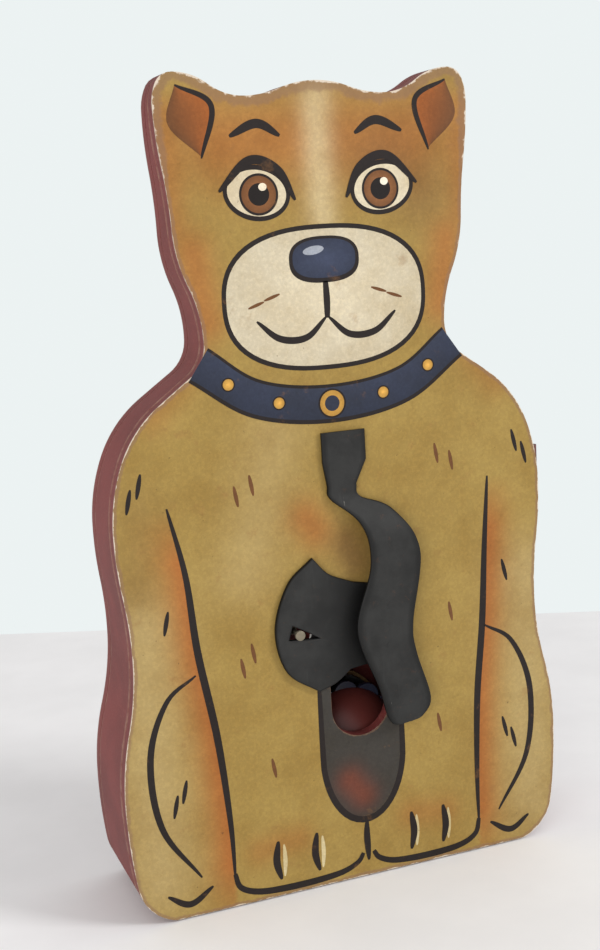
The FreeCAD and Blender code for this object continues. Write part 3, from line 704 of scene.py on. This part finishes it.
class FaceDrawing(bpy.types.Operator):
    """Drawn head: inner ears, eyes under soft brows, oval nose, mouth and a few hairs"""
    bl_idname = "surprise_box.face_drawing"
    bl_label = "Face drawing"

    def execute(self, context):
        c = colours()
        ink, navy, brown = tuple(c.ink), tuple(c.navy), tuple(c.brown)
        white = srgb(204, 193, 168)
        pen = Ink()
        pen.disc((0, 133.2), 23.4, 15.4, ink, 1, power=2.5)
        pen.disc((0, 133.2), 22.4, 14.4, scaled(white, 0.86), 2, power=2.5, middle=white)
        for side in (-1, 1):
            eye = (side * 14.2, 155.6)
            look = (eye[0] - side * 0.4, eye[1] - 0.3)
            pen.disc(eye, 7.4, 5.7, ink, 3, side * 10)
            pen.disc(eye, 6.5, 4.7, white, 4, side * 10)
            pen.disc(look, 4.3, 4.3, ink, 5)
            pen.disc(look, 3.8, 3.8, scaled(brown, 1.1), 6, middle=scaled(brown, 2.2))
            pen.disc(look, 2.3, 2.3, scaled(ink, 0.7), 7)
            pen.disc((look[0] + 0.9, look[1] + 1.5), 0.9, 0.8, srgb(232, 224, 206), 8)
            pen.stroke(on_side(side, [(5.8, 153.8), (9.4, 160.2), (15.6, 162.2), (22.4, 156.2)]), 1.9, ink, 8)
            pen.stroke(on_side(side, [(8.4, 167.0), (13.4, 169.6), (19.4, 167.2)]), 1.9, ink, 1)
            pen.strip(on_side(side, [(30.2, 177.6), (32.2, 170.0), (25.6, 163.4)]),
                      on_side(side, [(30.2, 177.6), (22.8, 173.4), (25.6, 163.4)]),
                      scaled(brown, 0.9), 1, scaled(tuple(c.orange), 0.9))
            pen.stroke(on_side(side, [(30.2, 177.6), (22.8, 173.4), (25.6, 163.0)]), 1.2, ink, 2)
            pen.stroke(on_side(side, [(0.3, 129.0), (5.0, 125.0), (11.0, 125.2), (16.0, 129.2)]), 1.5, ink, 3)
            for tick in range(2):
                x = side * (10.5 + 3.6 * tick)
                pen.stroke([(x, 134.6 - 1.4 * tick), (x + side * 3.6, 133.4 - 1.4 * tick)], 0.7, brown, 3)
        pen.disc((0, 141.2), 8.0, 4.9, ink, 3, power=2.6)
        pen.disc((0, 141.4), 7.2, 4.1, navy, 4, power=2.6, middle=scaled(navy, 1.6))
        pen.disc((-2.4, 143.2), 2.4, 0.9, srgb(150, 156, 168), 5, 8)
        pen.stroke([(0, 136.6), (0.1, 132.6), (0, 128.8)], 1.5, ink, 3, 0.7)
        pen.piece("ink_face")
        return {'FINISHED'}


class CollarDrawing(bpy.types.Operator):
    """Drawn collar: a plain band round the neck with round studs and a ring"""
    bl_idname = "surprise_box.collar_drawing"
    bl_label = "Collar drawing"

    def execute(self, context):
        c = colours()
        navy = tuple(c.navy)
        brass = srgb(172, 132, 62)
        pen = Ink()
        top = [(-27.2, 124.4), (-16, 116.6), (0, 114.2), (16, 116.6), (27.2, 124.4)]
        low = [(-31.6, 118.2), (-18, 109.4), (0, 106.6), (18, 109.4), (31.6, 118.2)]
        pen.strip(top, low, scaled(navy, 1.15), 3, scaled(navy, 0.75))
        pen.stroke(top, 0.7, tuple(c.ink), 4, 0.8)
        pen.stroke(low, 0.9, tuple(c.ink), 4, 0.8)
        middle = smooth_curve([((a + d) / 2, (b + e) / 2) for (a, b), (d, e) in zip(top, low)], 101)
        for share in (12, 31, 69, 88):
            spot = middle[share]
            pen.disc((spot.real, spot.imag), 1.5, 1.5, tuple(c.ink), 5)
            pen.disc((spot.real, spot.imag), 1.2, 1.2, brass, 6, middle=scaled(brass, 1.8))
        pen.disc((0, 110.4), 3.2, 3.2, tuple(c.ink), 5)
        pen.disc((0, 110.4), 2.8, 2.8, brass, 6, middle=scaled(brass, 1.5))
        pen.disc((0, 110.4), 1.7, 1.7, scaled(navy, 0.9), 7)
        pen.piece("ink_collar")
        return {'FINISHED'}


class LegDrawing(bpy.types.Operator):
    """Drawn body: forelegs, haunches, paws with toe lines and short strokes of fur"""
    bl_idname = "surprise_box.leg_drawing"
    bl_label = "Leg drawing"

    def execute(self, context):
        c = colours()
        ink, brown = tuple(c.ink), tuple(c.brown)
        pen = Ink()
        for line in LEG_LINES:
            pen.stroke(line, 1.7, ink, 2)
        turn = np.linspace(-np.pi, 0, 13)
        bow = BELLY_CENTRE + BELLY_HALF * np.cos(turn) + 1j * BELLY_DROP * np.sin(turn)
        ends = [BELLY_CENTRE - BELLY_HALF + 17j], [BELLY_CENTRE + BELLY_HALF + 17j]
        rim = np.concatenate([ends[0], bow, ends[1]])
        pen.stroke(list(zip(rim.real, rim.imag)), 1.5, ink, 2, 0.6)
        pen.stroke([(2.9, 14.0), (2.7, 10.0), (2.9, 4.0)], 1.6, ink, 3)
        for inner, outer in ((1.6, -29.4), (4.2, 31.6)):
            reach = outer - inner
            paw = [(1, 8.0), (0.96, 4.4), (0.8, 2.4), (0.5, 1.9), (0.2, 2.4), (0.05, 4.0), (0, 6.0)]
            pen.stroke([(inner + reach * share, z) for share, z in paw], 1.6, ink, 3, 0.6)
            for share in (0.36, 0.66):
                x = inner + reach * share
                pen.stroke([(x, 13.4), (x + reach * 0.02, 8.6), (x - reach * 0.01, 4.2)], 1.7, ink, 3)
                pen.stroke([(x + 1.3, 12.4), (x + 1.4, 8.6), (x + 1.1, 4.8)], 1.0, srgb(196, 182, 142), 2)
        for side in (-1, 1):
            pen.stroke(on_side(side, [(35, 55), (42, 50), (46.4, 38), (45.0, 22), (37, 9)]), 1.5, ink, 2)
            pen.stroke(on_side(side, [(34.6, 6.4), (40, 3.4), (45, 6.2)]), 1.5, ink, 2)
            for x, z in ((43.6, 100), (46.0, 97), (40.0, 70), (38.8, 32), (41.0, 29)):
                pen.stroke([(side * x, z), (side * (x + 1.2), z - 5.2)], 1.0, ink, 1)
        tufts = [(-20, 97), (-23.6, 95), (24, 99), (27.6, 97), (-22, 60), (-24.6, 57), (26, 62),
                 (-19, 33), (22, 36)]
        for x, z in tufts:
            pen.stroke([(x, z), (x + 0.7, z - 4.6)], 0.9, brown, 1)
        pen.piece("ink_body")
        return {'FINISHED'}


class FrontBoard(bpy.types.Operator):
    """Pasteboard door behind the paper: rays from the slot to the outline, closed all round, and drilled"""
    bl_idname = "surprise_box.front_board"
    bl_label = "Front board"

    def execute(self, context):
        edge = 1000 * sizes().edge_round
        rim = outline(480)
        rim = rim.real + 1j * np.maximum(rim.imag, DOOR_LIFT)
        slot = inner_points(RAY_CENTRE, rim, slot_polygon())
        ray = (rim - slot) / np.abs(rim - slot)
        front = BOARD_FRONT + 0.02
        loop = [(slot, front), (rim, front), (rim, BOARD_FRONT + 1.0), (rim, BOARD_BACK - 1.0),
                (rim, BOARD_BACK - edge), (rim - ray * edge, BOARD_BACK), (slot + ray * edge, BOARD_BACK),
                (slot, BOARD_BACK - edge)]
        plane = np.stack([p for p, y in loop], axis=1)
        depth = np.array([y for p, y in loop])[None, :]
        wear_and_shade = np.tile([0.0, 0.75, 0.25, 0.2, 0.7, 0.3, 0.2, 0.0], (480, 1))
        faces = lattice(480, 8, True, True)
        board = add_piece("door_board", to_points(plane, depth), faces, maroon_board(), wear_and_shade=wear_and_shade)
        drill_stud_hole(board, context)
        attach(board, "door")
        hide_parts("front_board")
        return {'FINISHED'}


class SideWalls(bpy.types.Operator):
    """Bent side walls: a thin section carried round each half of the outline, notched for the hinges"""
    bl_idname = "surprise_box.side_walls"
    bl_label = "Side walls"

    def execute(self, context):
        edge = 1000 * sizes().edge_round
        whole = outline(2400)
        corner = np.argmin(np.abs(whole - complex(40.5, 0)))
        crown = np.argmin(np.abs(whole - complex(0, 178)))
        right = resample(np.roll(whole, -corner)[:(crown - corner) % 2400 + 1], 560)
        right[0] = complex(40.5, 0)
        right[-1] = complex(0, 178)
        for side in (1, -1):
            path = right if side > 0 else -right.conjugate()
            ahead = np.gradient(path)
            inward = side * 1j * ahead / np.abs(ahead)
            inward[0] = 1j
            inward[-1] = -1j
            steps = np.concatenate([[0.0] * 9, [edge, WALL - edge], [WALL] * 4, [WALL - edge, edge]])
            plane = path[:, None] + inward[:, None] * steps[None, :]
            front = np.full(plane.shape, SEAM)
            if side > 0:
                off = np.clip(RELIEF_R ** 2 - (plane.real - HINGE_X) ** 2, 0, None)
                groove = (off > 0) & (plane.imag < RELIEF_TOP)
                front = np.where(groove, np.maximum(front, HINGE_Y + np.sqrt(off)), front)
                for z in HINGE_ZS:
                    notch = (np.abs(plane.imag - z) < NOTCH_REACH) & (plane.real > 40)
                    front = np.where(notch, np.maximum(front, HINGE_PLANE), front)
            back = back_y(plane.imag, BACK_T)
            share = np.concatenate([np.linspace(0, 1, 9), [1, 1], np.linspace(1, 0, 4), [0, 0]])[None, :]
            inset = np.zeros((1, len(steps)))
            inset[0, [0, 14]] = edge
            inset[0, [8, 11]] = -edge
            depth = front + (back - front) * share + inset
            rub = np.concatenate([[0.75], [0.1] * 7, [0.75], [0.5, 0.1], [0.1] * 4, [0.2, 0.6]])
            wear_and_shade = np.broadcast_to(rub[None, :], depth.shape)
            loops = to_points(plane, depth)
            name = "wall_right" if side > 0 else "wall_left"
            wall = add_piece(name, loops, tube(loops), maroon_board(), wear_and_shade=wear_and_shade)
            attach(wall, "case")
            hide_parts("side_wall_right" if side > 0 else "side_wall_left")
        return {'FINISHED'}


class BackBoard(bpy.types.Operator):
    """Back board: the outline filled on two leaning planes and closed round the rim"""
    bl_idname = "surprise_box.back_board"
    bl_label = "Back board"

    def execute(self, context):
        edge = 1000 * sizes().edge_round
        rim = outline(480)
        ray = (rim - BACK_CENTRE) / np.abs(rim - BACK_CENTRE)
        middle = BACK_CENTRE + (rim - BACK_CENTRE) * 0.2
        loop = [(middle, BACK_T), (rim, BACK_T), (rim, BACK_T * 0.5), (rim, edge), (rim - ray * edge, 0.0),
                (middle, 0.0)]
        plane = np.stack([p for p, inset in loop])
        depth = np.stack([back_y(p.imag, inset) for p, inset in loop])
        wear_and_shade = np.tile(np.array([0.1, 0.4, 0.2, 0.8, 0.55, 0.1])[:, None], (1, 480))
        loops = to_points(plane, depth)
        board = add_piece("back_panel", loops, tube(loops), maroon_board(), wear_and_shade=wear_and_shade)
        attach(board, "case")
        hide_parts("back_board")
        return {'FINISHED'}


def lever_rise(z):
    """How far the lever stands off at height z: one smooth slope out over the catch plate."""
    out = np.clip((91.0 - z) / 11.0, 0, 1)
    return 3.2 * out * out * (3 - 2 * out)


class Lever(bpy.types.Operator):
    """Thumb lever: two smooth edges from the square tab to the round toe, joined by a thin soft section"""
    bl_idname = "surprise_box.lever"
    bl_label = "Thumb lever"

    def execute(self, context):
        tab = np.linspace(0, 1, 20)
        edges = []
        for corner, curve in ((complex(-3.3, 104.2), LEVER_LEFT), (complex(6.9, 104.2), LEVER_RIGHT)):
            foot = corner - 6.6j
            waist = complex(*curve[0])
            edges.append(np.concatenate([
                corner - 6.6j * tab, foot + (waist - foot) * tab[1:], smooth_curve(curve, 260)[1:]]))
        left, right = edges
        across = np.array([0, 0.02, 0.06, 0.14, 0.5, 0.86, 0.94, 0.98, 1])
        soft = np.array([0.3, 0.1, 0.02, 0, 0, 0, 0.02, 0.1, 0.3])
        front = left[:, None] + (right - left)[:, None] * across[None, :]
        plane = np.concatenate([front, front[:, ::-1]], axis=1)
        rise = lever_rise(plane.imag)
        depth = np.concatenate([PLATE_FRONT + 0.04 + soft, np.full(9, PLATE_BACK - 0.02)])[None, :] - rise
        loops = to_points(plane, depth)
        # Darker towards both edges of the lever, on its front and its back.
        steel_darkening = np.array([0.9, 0.85, 0.6, 0.1, 0, 0.1, 0.6, 0.85, 0.9])
        wear_and_shade = np.broadcast_to(np.concatenate([steel_darkening, steel_darkening]), plane.shape)
        lever = add_piece("lever", loops, tube(loops), dull_steel(), wear_and_shade=wear_and_shade)
        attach(lever, "trigger")
        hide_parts("thumb_lever")
        return {'FINISHED'}


class CatchPlate(bpy.types.Operator):
    """Half-moon catch plate: rays from the keyhole to the outline, with a turned-up flange under the lever"""
    bl_idname = "surprise_box.catch_plate"
    bl_label = "Catch plate"

    def execute(self, context):
        swing = complex(PIVOT_Z - STUD_Z, STUD_X - PIVOT_X)
        swing = swing / abs(swing)
        base = complex(STUD_X, STUD_Z) - swing * 1.9
        key = np.array([base - 1.7j * swing, base + swing * 7.1, base + 1.7j * swing])
        left = smooth_curve(MOON_LEFT, 120)
        heel = smooth_curve([(-7.2, 46.6), (-3.0, 48.0), (0.6, 50.6)], 40)
        tip = smooth_curve([(2.2, 70.4), (-3.4, 73.0), (-7.1, 77.1)], 40)
        right = np.array([complex(6.9, 51.4), complex(6.9, 69.4)])
        rim = resample(np.concatenate([left, heel[1:], right, tip[:-1]]), 420, closed=True)
        hole = inner_points(PLATE_CENTRE, rim, key)
        ray = (rim - hole) / np.abs(rim - hole)
        loop = [(hole, PLATE_BACK), (hole, PLATE_FRONT + 0.15), (hole + ray * 0.1, PLATE_FRONT + 0.02),
                (hole + ray * 0.4, PLATE_FRONT)]
        loop += [(hole + (rim - hole) * share, PLATE_FRONT) for share in (0.25, 0.4, 0.55, 0.7, 0.85)]
        loop += [(rim - ray * 0.5, PLATE_FRONT), (rim - ray * 0.12, PLATE_FRONT + 0.06),
                 (rim, PLATE_FRONT + 0.25), (rim, PLATE_BACK)]
        plane = np.stack([p for p, y in loop], axis=1)
        depth = np.array([y for p, y in loop])[None, :]
        parts = [(to_points(plane, depth), lattice(420, len(loop), True, True).tolist())]
        root = PLATE_BACK - 0.1
        bend = np.array([(6.0, root), (6.9, root), (6.9, LEVER_BACK + 0.9), (13.4, LEVER_BACK + 0.9),
                         (13.4, LEVER_BACK + 0.02), (6.4, LEVER_BACK + 0.02), (6.1, LEVER_BACK + 0.2),
                         (6.0, LEVER_BACK + 0.5)])
        height = np.linspace(53.0, 67.4, 12)
        loops = to_points(bend[None, :, 0] + 1j * height[:, None], bend[None, :, 1])
        parts.append((loops[::-1], tube(loops)))
        points, faces = joined(parts)
        # Painted shadow of the standing lever: the plate darkens towards its right edge, beside and under the
        # lever.
        steel_darkening = 0.95 * np.clip((points[:, 0] + 10.0) / 11.0, 0, 1) ** 1.4
        # Painted shade in the keyhole's walls, and darker along the plate's rounded rim.
        keyhole_shade_and_dark_rim = np.tile([0.9] * 3 + [0.1] + [0.0] * 4 + [0.05, 0.2, 0.85, 0.9, 0.9], (420, 1))
        steel_darkening[:keyhole_shade_and_dark_rim.size] = np.maximum(steel_darkening[:keyhole_shade_and_dark_rim.size], keyhole_shade_and_dark_rim.ravel())
        plate = add_piece("catch_moon", points, faces, dull_steel(), wear_and_shade=steel_darkening)
        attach(plate, "trigger")
        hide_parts("catch_plate")
        return {'FINISHED'}


class TurnedPieces(bpy.types.Operator):
    """Turned pieces: each a profile of radius and depth swept once round its own line along Y"""
    bl_idname = "surprise_box.turned_pieces"
    bl_label = "Turned pieces"

    def execute(self, context):
        skin = painted("painted_wood", srgb(206, 160, 124), srgb(150, 118, 84))
        red = painted("nose_red", srgb(150, 48, 42), srgb(196, 150, 120))
        brass = sheet_metal("brass", srgb(118, 110, 94), 0.5, 0.55, 0.3)
        steel = dull_steel()
        ball = (11.0 ** 2 + 7.0 ** 2) / 14.0
        sweep = np.linspace(0.002, math.asin(11.0 / ball), 40)
        head = [(ball * math.sin(a), -11.4 + ball * (1 - math.cos(a))) for a in sweep]
        head += [(10.9, -4.42), (0.02, -4.42)]
        nose = [(1.5 * math.sin(a), -11.0 - 0.8 * math.cos(a)) for a in np.linspace(0.01, 3.13, 24)]
        pivot = [(0.02, -16.85), (1.9, -16.83), (2.1, -16.78), (1.3, -15.95), (1.3, -12.4), (2.4, -12.35),
                 (2.3, -11.95), (1.9, -11.9), (0.02, -11.9)]
        stud = [(0.02, -18.0), (0.8, -17.98), (1.1, -17.8), (1.1, -17.15), (0.95, -17.1), (0.6, -17.08),
                (0.6, -12.5), (1.1, -12.4), (1.1, 2.6), (2.6, 2.6), (2.6, 3.38), (0.02, 3.38)]
        for name, node, profile, x, z, body, slot, material in [
                ("head_ball", "jack_head", head, JACK_X, JACK_Z, "jack", "painted_wood", skin),
                ("nose_ball", "jack_nose", nose, JACK_X, JACK_Z, "jack", "cap_paint", red),
                ("pivot_rivet", "trigger_rivet", pivot, PIVOT_X, PIVOT_Z, "door", "dull_steel", steel),
                ("stud_pin", "keeper_stud", stud, STUD_X, STUD_Z, "case", "brass", brass)]:
            loops = turned(profile, x, z)
            piece = add_piece(name, loops, tube(loops), material)
            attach(piece, body)
            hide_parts(node)
        return {'FINISHED'}


class JackCap(bpy.types.Operator):
    """Maroon cap: the upper part of a dome just outside the head, cut level at its brim and closed inside"""
    bl_idname = "surprise_box.jack_cap"
    bl_label = "Jack's cap"

    def execute(self, context):
        paint = painted("cap_paint", srgb(96, 44, 39), srgb(120, 76, 64))
        ball = (11.8 ** 2 + 7.4 ** 2) / 14.8
        inner = (11.0 ** 2 + 7.0 ** 2) / 14.0
        turn = np.linspace(0, 1, 60)[:, None]
        out = np.linspace(0, 1, 30)[None, :]
        low = 3.0
        reach = low + (11.8 - low) * out
        start = np.arcsin(np.clip(low / reach, -1, 1))
        angle = start + (np.pi - 2 * start) * turn
        plane = complex(JACK_X, JACK_Z) + reach * np.exp(1j * angle)
        depth = -11.8 + ball - np.sqrt(ball ** 2 - reach ** 2) + 0 * turn
        under = np.minimum(reach, 10.98) + 0 * turn
        head = -11.4 + inner - np.sqrt(inner ** 2 - under ** 2)
        depth_in = np.maximum(depth + 0.05, np.minimum(head, -4.42))
        loops = np.concatenate([to_points(plane, depth), to_points(plane, depth_in)[:, ::-1]], axis=1)
        cap = add_piece("cap_shell", loops, tube(loops), paint)
        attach(cap, "jack")
        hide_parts("jack_cap")
        return {'FINISHED'}


class JackFace(bpy.types.Operator):
    """Painted face of the jack: flat shapes laid on the head's dome, at depth front + R - sqrt(R^2 - r^2)"""
    bl_idname = "surprise_box.jack_face"
    bl_label = "Jack's face"

    def execute(self, context):
        pen = Ink()
        for side in (-1, 1):
            pen.disc((side * 3.4, 0.6), 1.25, 1.5, srgb(226, 216, 196), 0)
            pen.disc((side * 3.3, 0.5), 0.7, 0.85, srgb(40, 34, 34), 1)
            pen.disc((side * 5.6, -3.0), 1.9, 1.5, srgb(186, 92, 74), 0, middle=srgb(198, 112, 88))
        pen.stroke([(-3.8, -4.4), (-1.8, -6.0), (1.8, -6.0), (3.8, -4.4)], 0.8, srgb(132, 36, 36), 1)
        points, faces = joined(pen.parts)
        ball = (11.0 ** 2 + 7.0 ** 2) / 14.0
        lift = points[:, 1] - FRONT
        reach = points[:, 0] ** 2 + points[:, 2] ** 2
        points[:, 1] = -11.4 + ball - np.sqrt(ball ** 2 - reach) + lift - 0.05
        points[:, 0] += JACK_X
        points[:, 2] += JACK_Z
        face = add_piece("ink_jack", points, faces, printed_paper(), tints=np.concatenate(pen.tints))
        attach(face, "jack")
        return {'FINISHED'}


class JackSpring(bpy.types.Operator):
    """Conical spring: a wire whose centre turns five times while its radius shrinks towards the jack.
    Its section is pressed flat along Y by the share that the full travel would draw it out."""
    bl_idname = "surprise_box.jack_spring"
    bl_label = "Jack's spring"

    def execute(self, context):
        wire = 1000 * sizes().wire_radius
        share = np.linspace(0, 1, 700)
        turn = 2 * np.pi * 5 * share
        radius = 11.0 - 5.0 * share
        depth = SPRING_BACK - (SPRING_BACK - SPRING_FRONT) * share
        centre = np.stack([JACK_X + radius * np.cos(turn), depth, JACK_Z + radius * np.sin(turn)], axis=-1)
        ahead = np.gradient(centre, axis=0)
        ahead /= np.linalg.norm(ahead, axis=1, keepdims=True)
        out = np.stack([np.cos(turn), 0 * turn, np.sin(turn)], axis=-1)
        out -= ahead * (out * ahead).sum(axis=1, keepdims=True)
        out /= np.linalg.norm(out, axis=1, keepdims=True)
        side = np.cross(ahead, out)
        around = np.linspace(0, 2 * np.pi, 12, endpoint=False)[None, :, None]
        drawn_out = 1 + 6 * share * (1 - share) * JACK_TRAVEL / (SPRING_BACK - SPRING_FRONT)
        flat = (1 / drawn_out)[:, None, None]
        section = np.cos(around) * out[:, None] + np.sin(around) * flat * side[:, None]
        loops = centre[:, None] + wire * section
        steel = sheet_metal("spring_wire", srgb(120, 118, 114), 0.9, 0.38, 0.2)
        spring = add_piece("spring_wire", loops, tube(loops), steel)
        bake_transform(spring)
        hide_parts("jack_spring")
        return {'FINISHED'}


class CadFinishes(bpy.types.Operator):
    """Finishes of the pieces that show their built shape: wood, tin, steel, paint"""
    bl_idname = "surprise_box.cad_finishes"
    bl_label = "Finishes of built pieces"

    def execute(self, context):
        wood = grained("softwood", srgb(186, 150, 104), srgb(142, 104, 64))
        card = painted("ruff_card", srgb(38, 41, 56), srgb(96, 88, 76))
        tin = sheet_metal("tin", srgb(140, 140, 138), 0.85, 0.42, 0.12)
        steel = dull_steel()
        hinge = sheet_metal("hinge_paint", srgb(104, 62, 56), 0.2, 0.55, 0.5)
        for names, material in [
                (("hinge_leaves_case", "hinge_leaves_door", "hinge_pins"), hinge),
                (("base_board", "glue_blocks", "hinge_blocks", "stud_block", "spring_block"), wood),
                (("spring_seat", "jack_cup"), tin),
                (("back_brads", "hinge_tacks_case", "hinge_tacks_door", "seat_tacks", "cup_tack",
                  "trigger_washer", "latch_rivets"), steel),
                (("jack_ruff",), card)]:
            for name in names:
                slots = frame["nodes"][name].data.materials
                slots.clear()
                slots.append(material)
        return {'FINISHED'}


class Stage(bpy.types.Operator):
    """Pale table and wall, soft light from the upper right, and the camera"""
    bl_idname = "surprise_box.stage"
    bl_label = "Stage"

    def execute(self, context):
        scene = context.scene
        drop = -0.05
        corners = np.array([(-900, -900, drop), (1500, -900, drop), (1500, -480, drop), (-900, 632, drop)])
        material, tree = start_material("pale_table")
        grain = noise(tree, 30, 4)
        colour = blend(tree, band(tree, grain, 0.3, 0.7), (0.86, 0.86, 0.86), (0.90, 0.90, 0.90))
        finish_material(tree, material, colour, 0.9, specular=0.1)
        table = add_piece("table", corners, [[0, 1, 2, 3]], material)
        world = bpy.data.worlds.new("pale_room")
        world.use_nodes = True
        sky = world.node_tree
        sky.nodes.clear()
        seen = link(sky, "ShaderNodeLightPath").outputs["Is Camera Ray"]
        room = link(sky, "ShaderNodeBackground", {}, {
            "Color": (0.80, 0.79, 0.79, 1), "Strength": 0.85}).outputs[0]
        wall = link(sky, "ShaderNodeBackground", {}, {
            "Color": (0.84, 0.89, 0.89, 1), "Strength": 1.0}).outputs[0]
        surface = link(sky, "ShaderNodeMixShader", {}, {0: seen, 1: room, 2: wall}).outputs[0]
        link(sky, "ShaderNodeOutputWorld", {}, {"Surface": surface})
        scene.world = world
        for name, place, aim, width, power in [
                ("key", (0.94, -0.83, 0.79), (0, 0, 0.07), 0.4, 9.4),
                ("fill", (-0.66, -0.72, 0.22), (0, 0, 0.05), 0.6, 4.6)]:
            light = bpy.data.lights.new(name, 'AREA')
            light.size = width
            light.energy = power
            lamp = bpy.data.objects.new(name, light)
            scene.collection.objects.link(lamp)
            lamp.location = place
            lamp.rotation_euler = (Vector(aim) - Vector(place)).to_track_quat('-Z', 'Y').to_euler()
        forward = np.array([0.34546, 0.92151, -0.17743])
        forward /= np.linalg.norm(forward)
        level = np.cross(forward, (0, 0, 1.0))
        level /= np.linalg.norm(level)
        upright = np.cross(level, forward)
        roll = math.radians(-3.4535)
        right = level * math.cos(roll) + upright * math.sin(roll)
        up = np.cross(right, forward)
        camera = bpy.data.cameras.new("camera")
        camera.sensor_fit = 'VERTICAL'
        camera.sensor_height = 36.0
        camera.lens = 52.12
        camera.clip_start = 0.01
        eye = bpy.data.objects.new("camera", camera)
        scene.collection.objects.link(eye)
        turn = np.eye(4)
        turn[:3, 0] = right
        turn[:3, 1] = up
        turn[:3, 2] = -forward
        turn[:3, 3] = (-0.11096, -0.28923, 0.14828)
        eye.matrix_world = Matrix(turn.tolist())
        scene.camera = eye
        scene.view_settings.view_transform = 'Standard'
        return {'FINISHED'}


STEPS = (PrintedSheet, FaceDrawing, CollarDrawing, LegDrawing, FrontBoard, SideWalls, BackBoard, Lever,
         CatchPlate, TurnedPieces, JackCap, JackFace, JackSpring, CadFinishes, Stage)


class BoxPanel(bpy.types.Panel):
    """Lists the pieces of the surprise box"""
    bl_idname = "VIEW3D_PT_surprise_box"
    bl_label = "Surprise box"
    bl_space_type = 'VIEW_3D'
    bl_region_type = 'UI'
    bl_category = "Surprise box"

    def draw(self, context):
        for step in STEPS:
            self.layout.operator(step.bl_idname)
        for group in (context.scene.box_sizes, context.scene.box_colours):
            for name in group.bl_rna.properties.keys():
                if name not in ("rna_type", "name"):
                    self.layout.prop(group, name)


CLASSES = (BoxSizes, BoxColours) + STEPS + (BoxPanel,)


def register():
    for cls in CLASSES:
        bpy.utils.register_class(cls)
    bpy.types.Scene.box_sizes = bpy.props.PointerProperty(type=BoxSizes)
    bpy.types.Scene.box_colours = bpy.props.PointerProperty(type=BoxColours)


def unregister():
    del bpy.types.Scene.box_colours
    del bpy.types.Scene.box_sizes
    for cls in reversed(CLASSES):
        bpy.utils.unregister_class(cls)


def main():
    register()
    bpy.ops.surprise_box.printed_sheet()
    bpy.ops.surprise_box.face_drawing()
    bpy.ops.surprise_box.collar_drawing()
    bpy.ops.surprise_box.leg_drawing()
    bpy.ops.surprise_box.front_board()
    bpy.ops.surprise_box.side_walls()
    bpy.ops.surprise_box.back_board()
    bpy.ops.surprise_box.lever()
    bpy.ops.surprise_box.catch_plate()
    bpy.ops.surprise_box.turned_pieces()
    bpy.ops.surprise_box.jack_cap()
    bpy.ops.surprise_box.jack_face()
    bpy.ops.surprise_box.jack_spring()
    bpy.ops.surprise_box.cad_finishes()
    bpy.ops.surprise_box.stage()


if __name__ == "__main__":
    main()
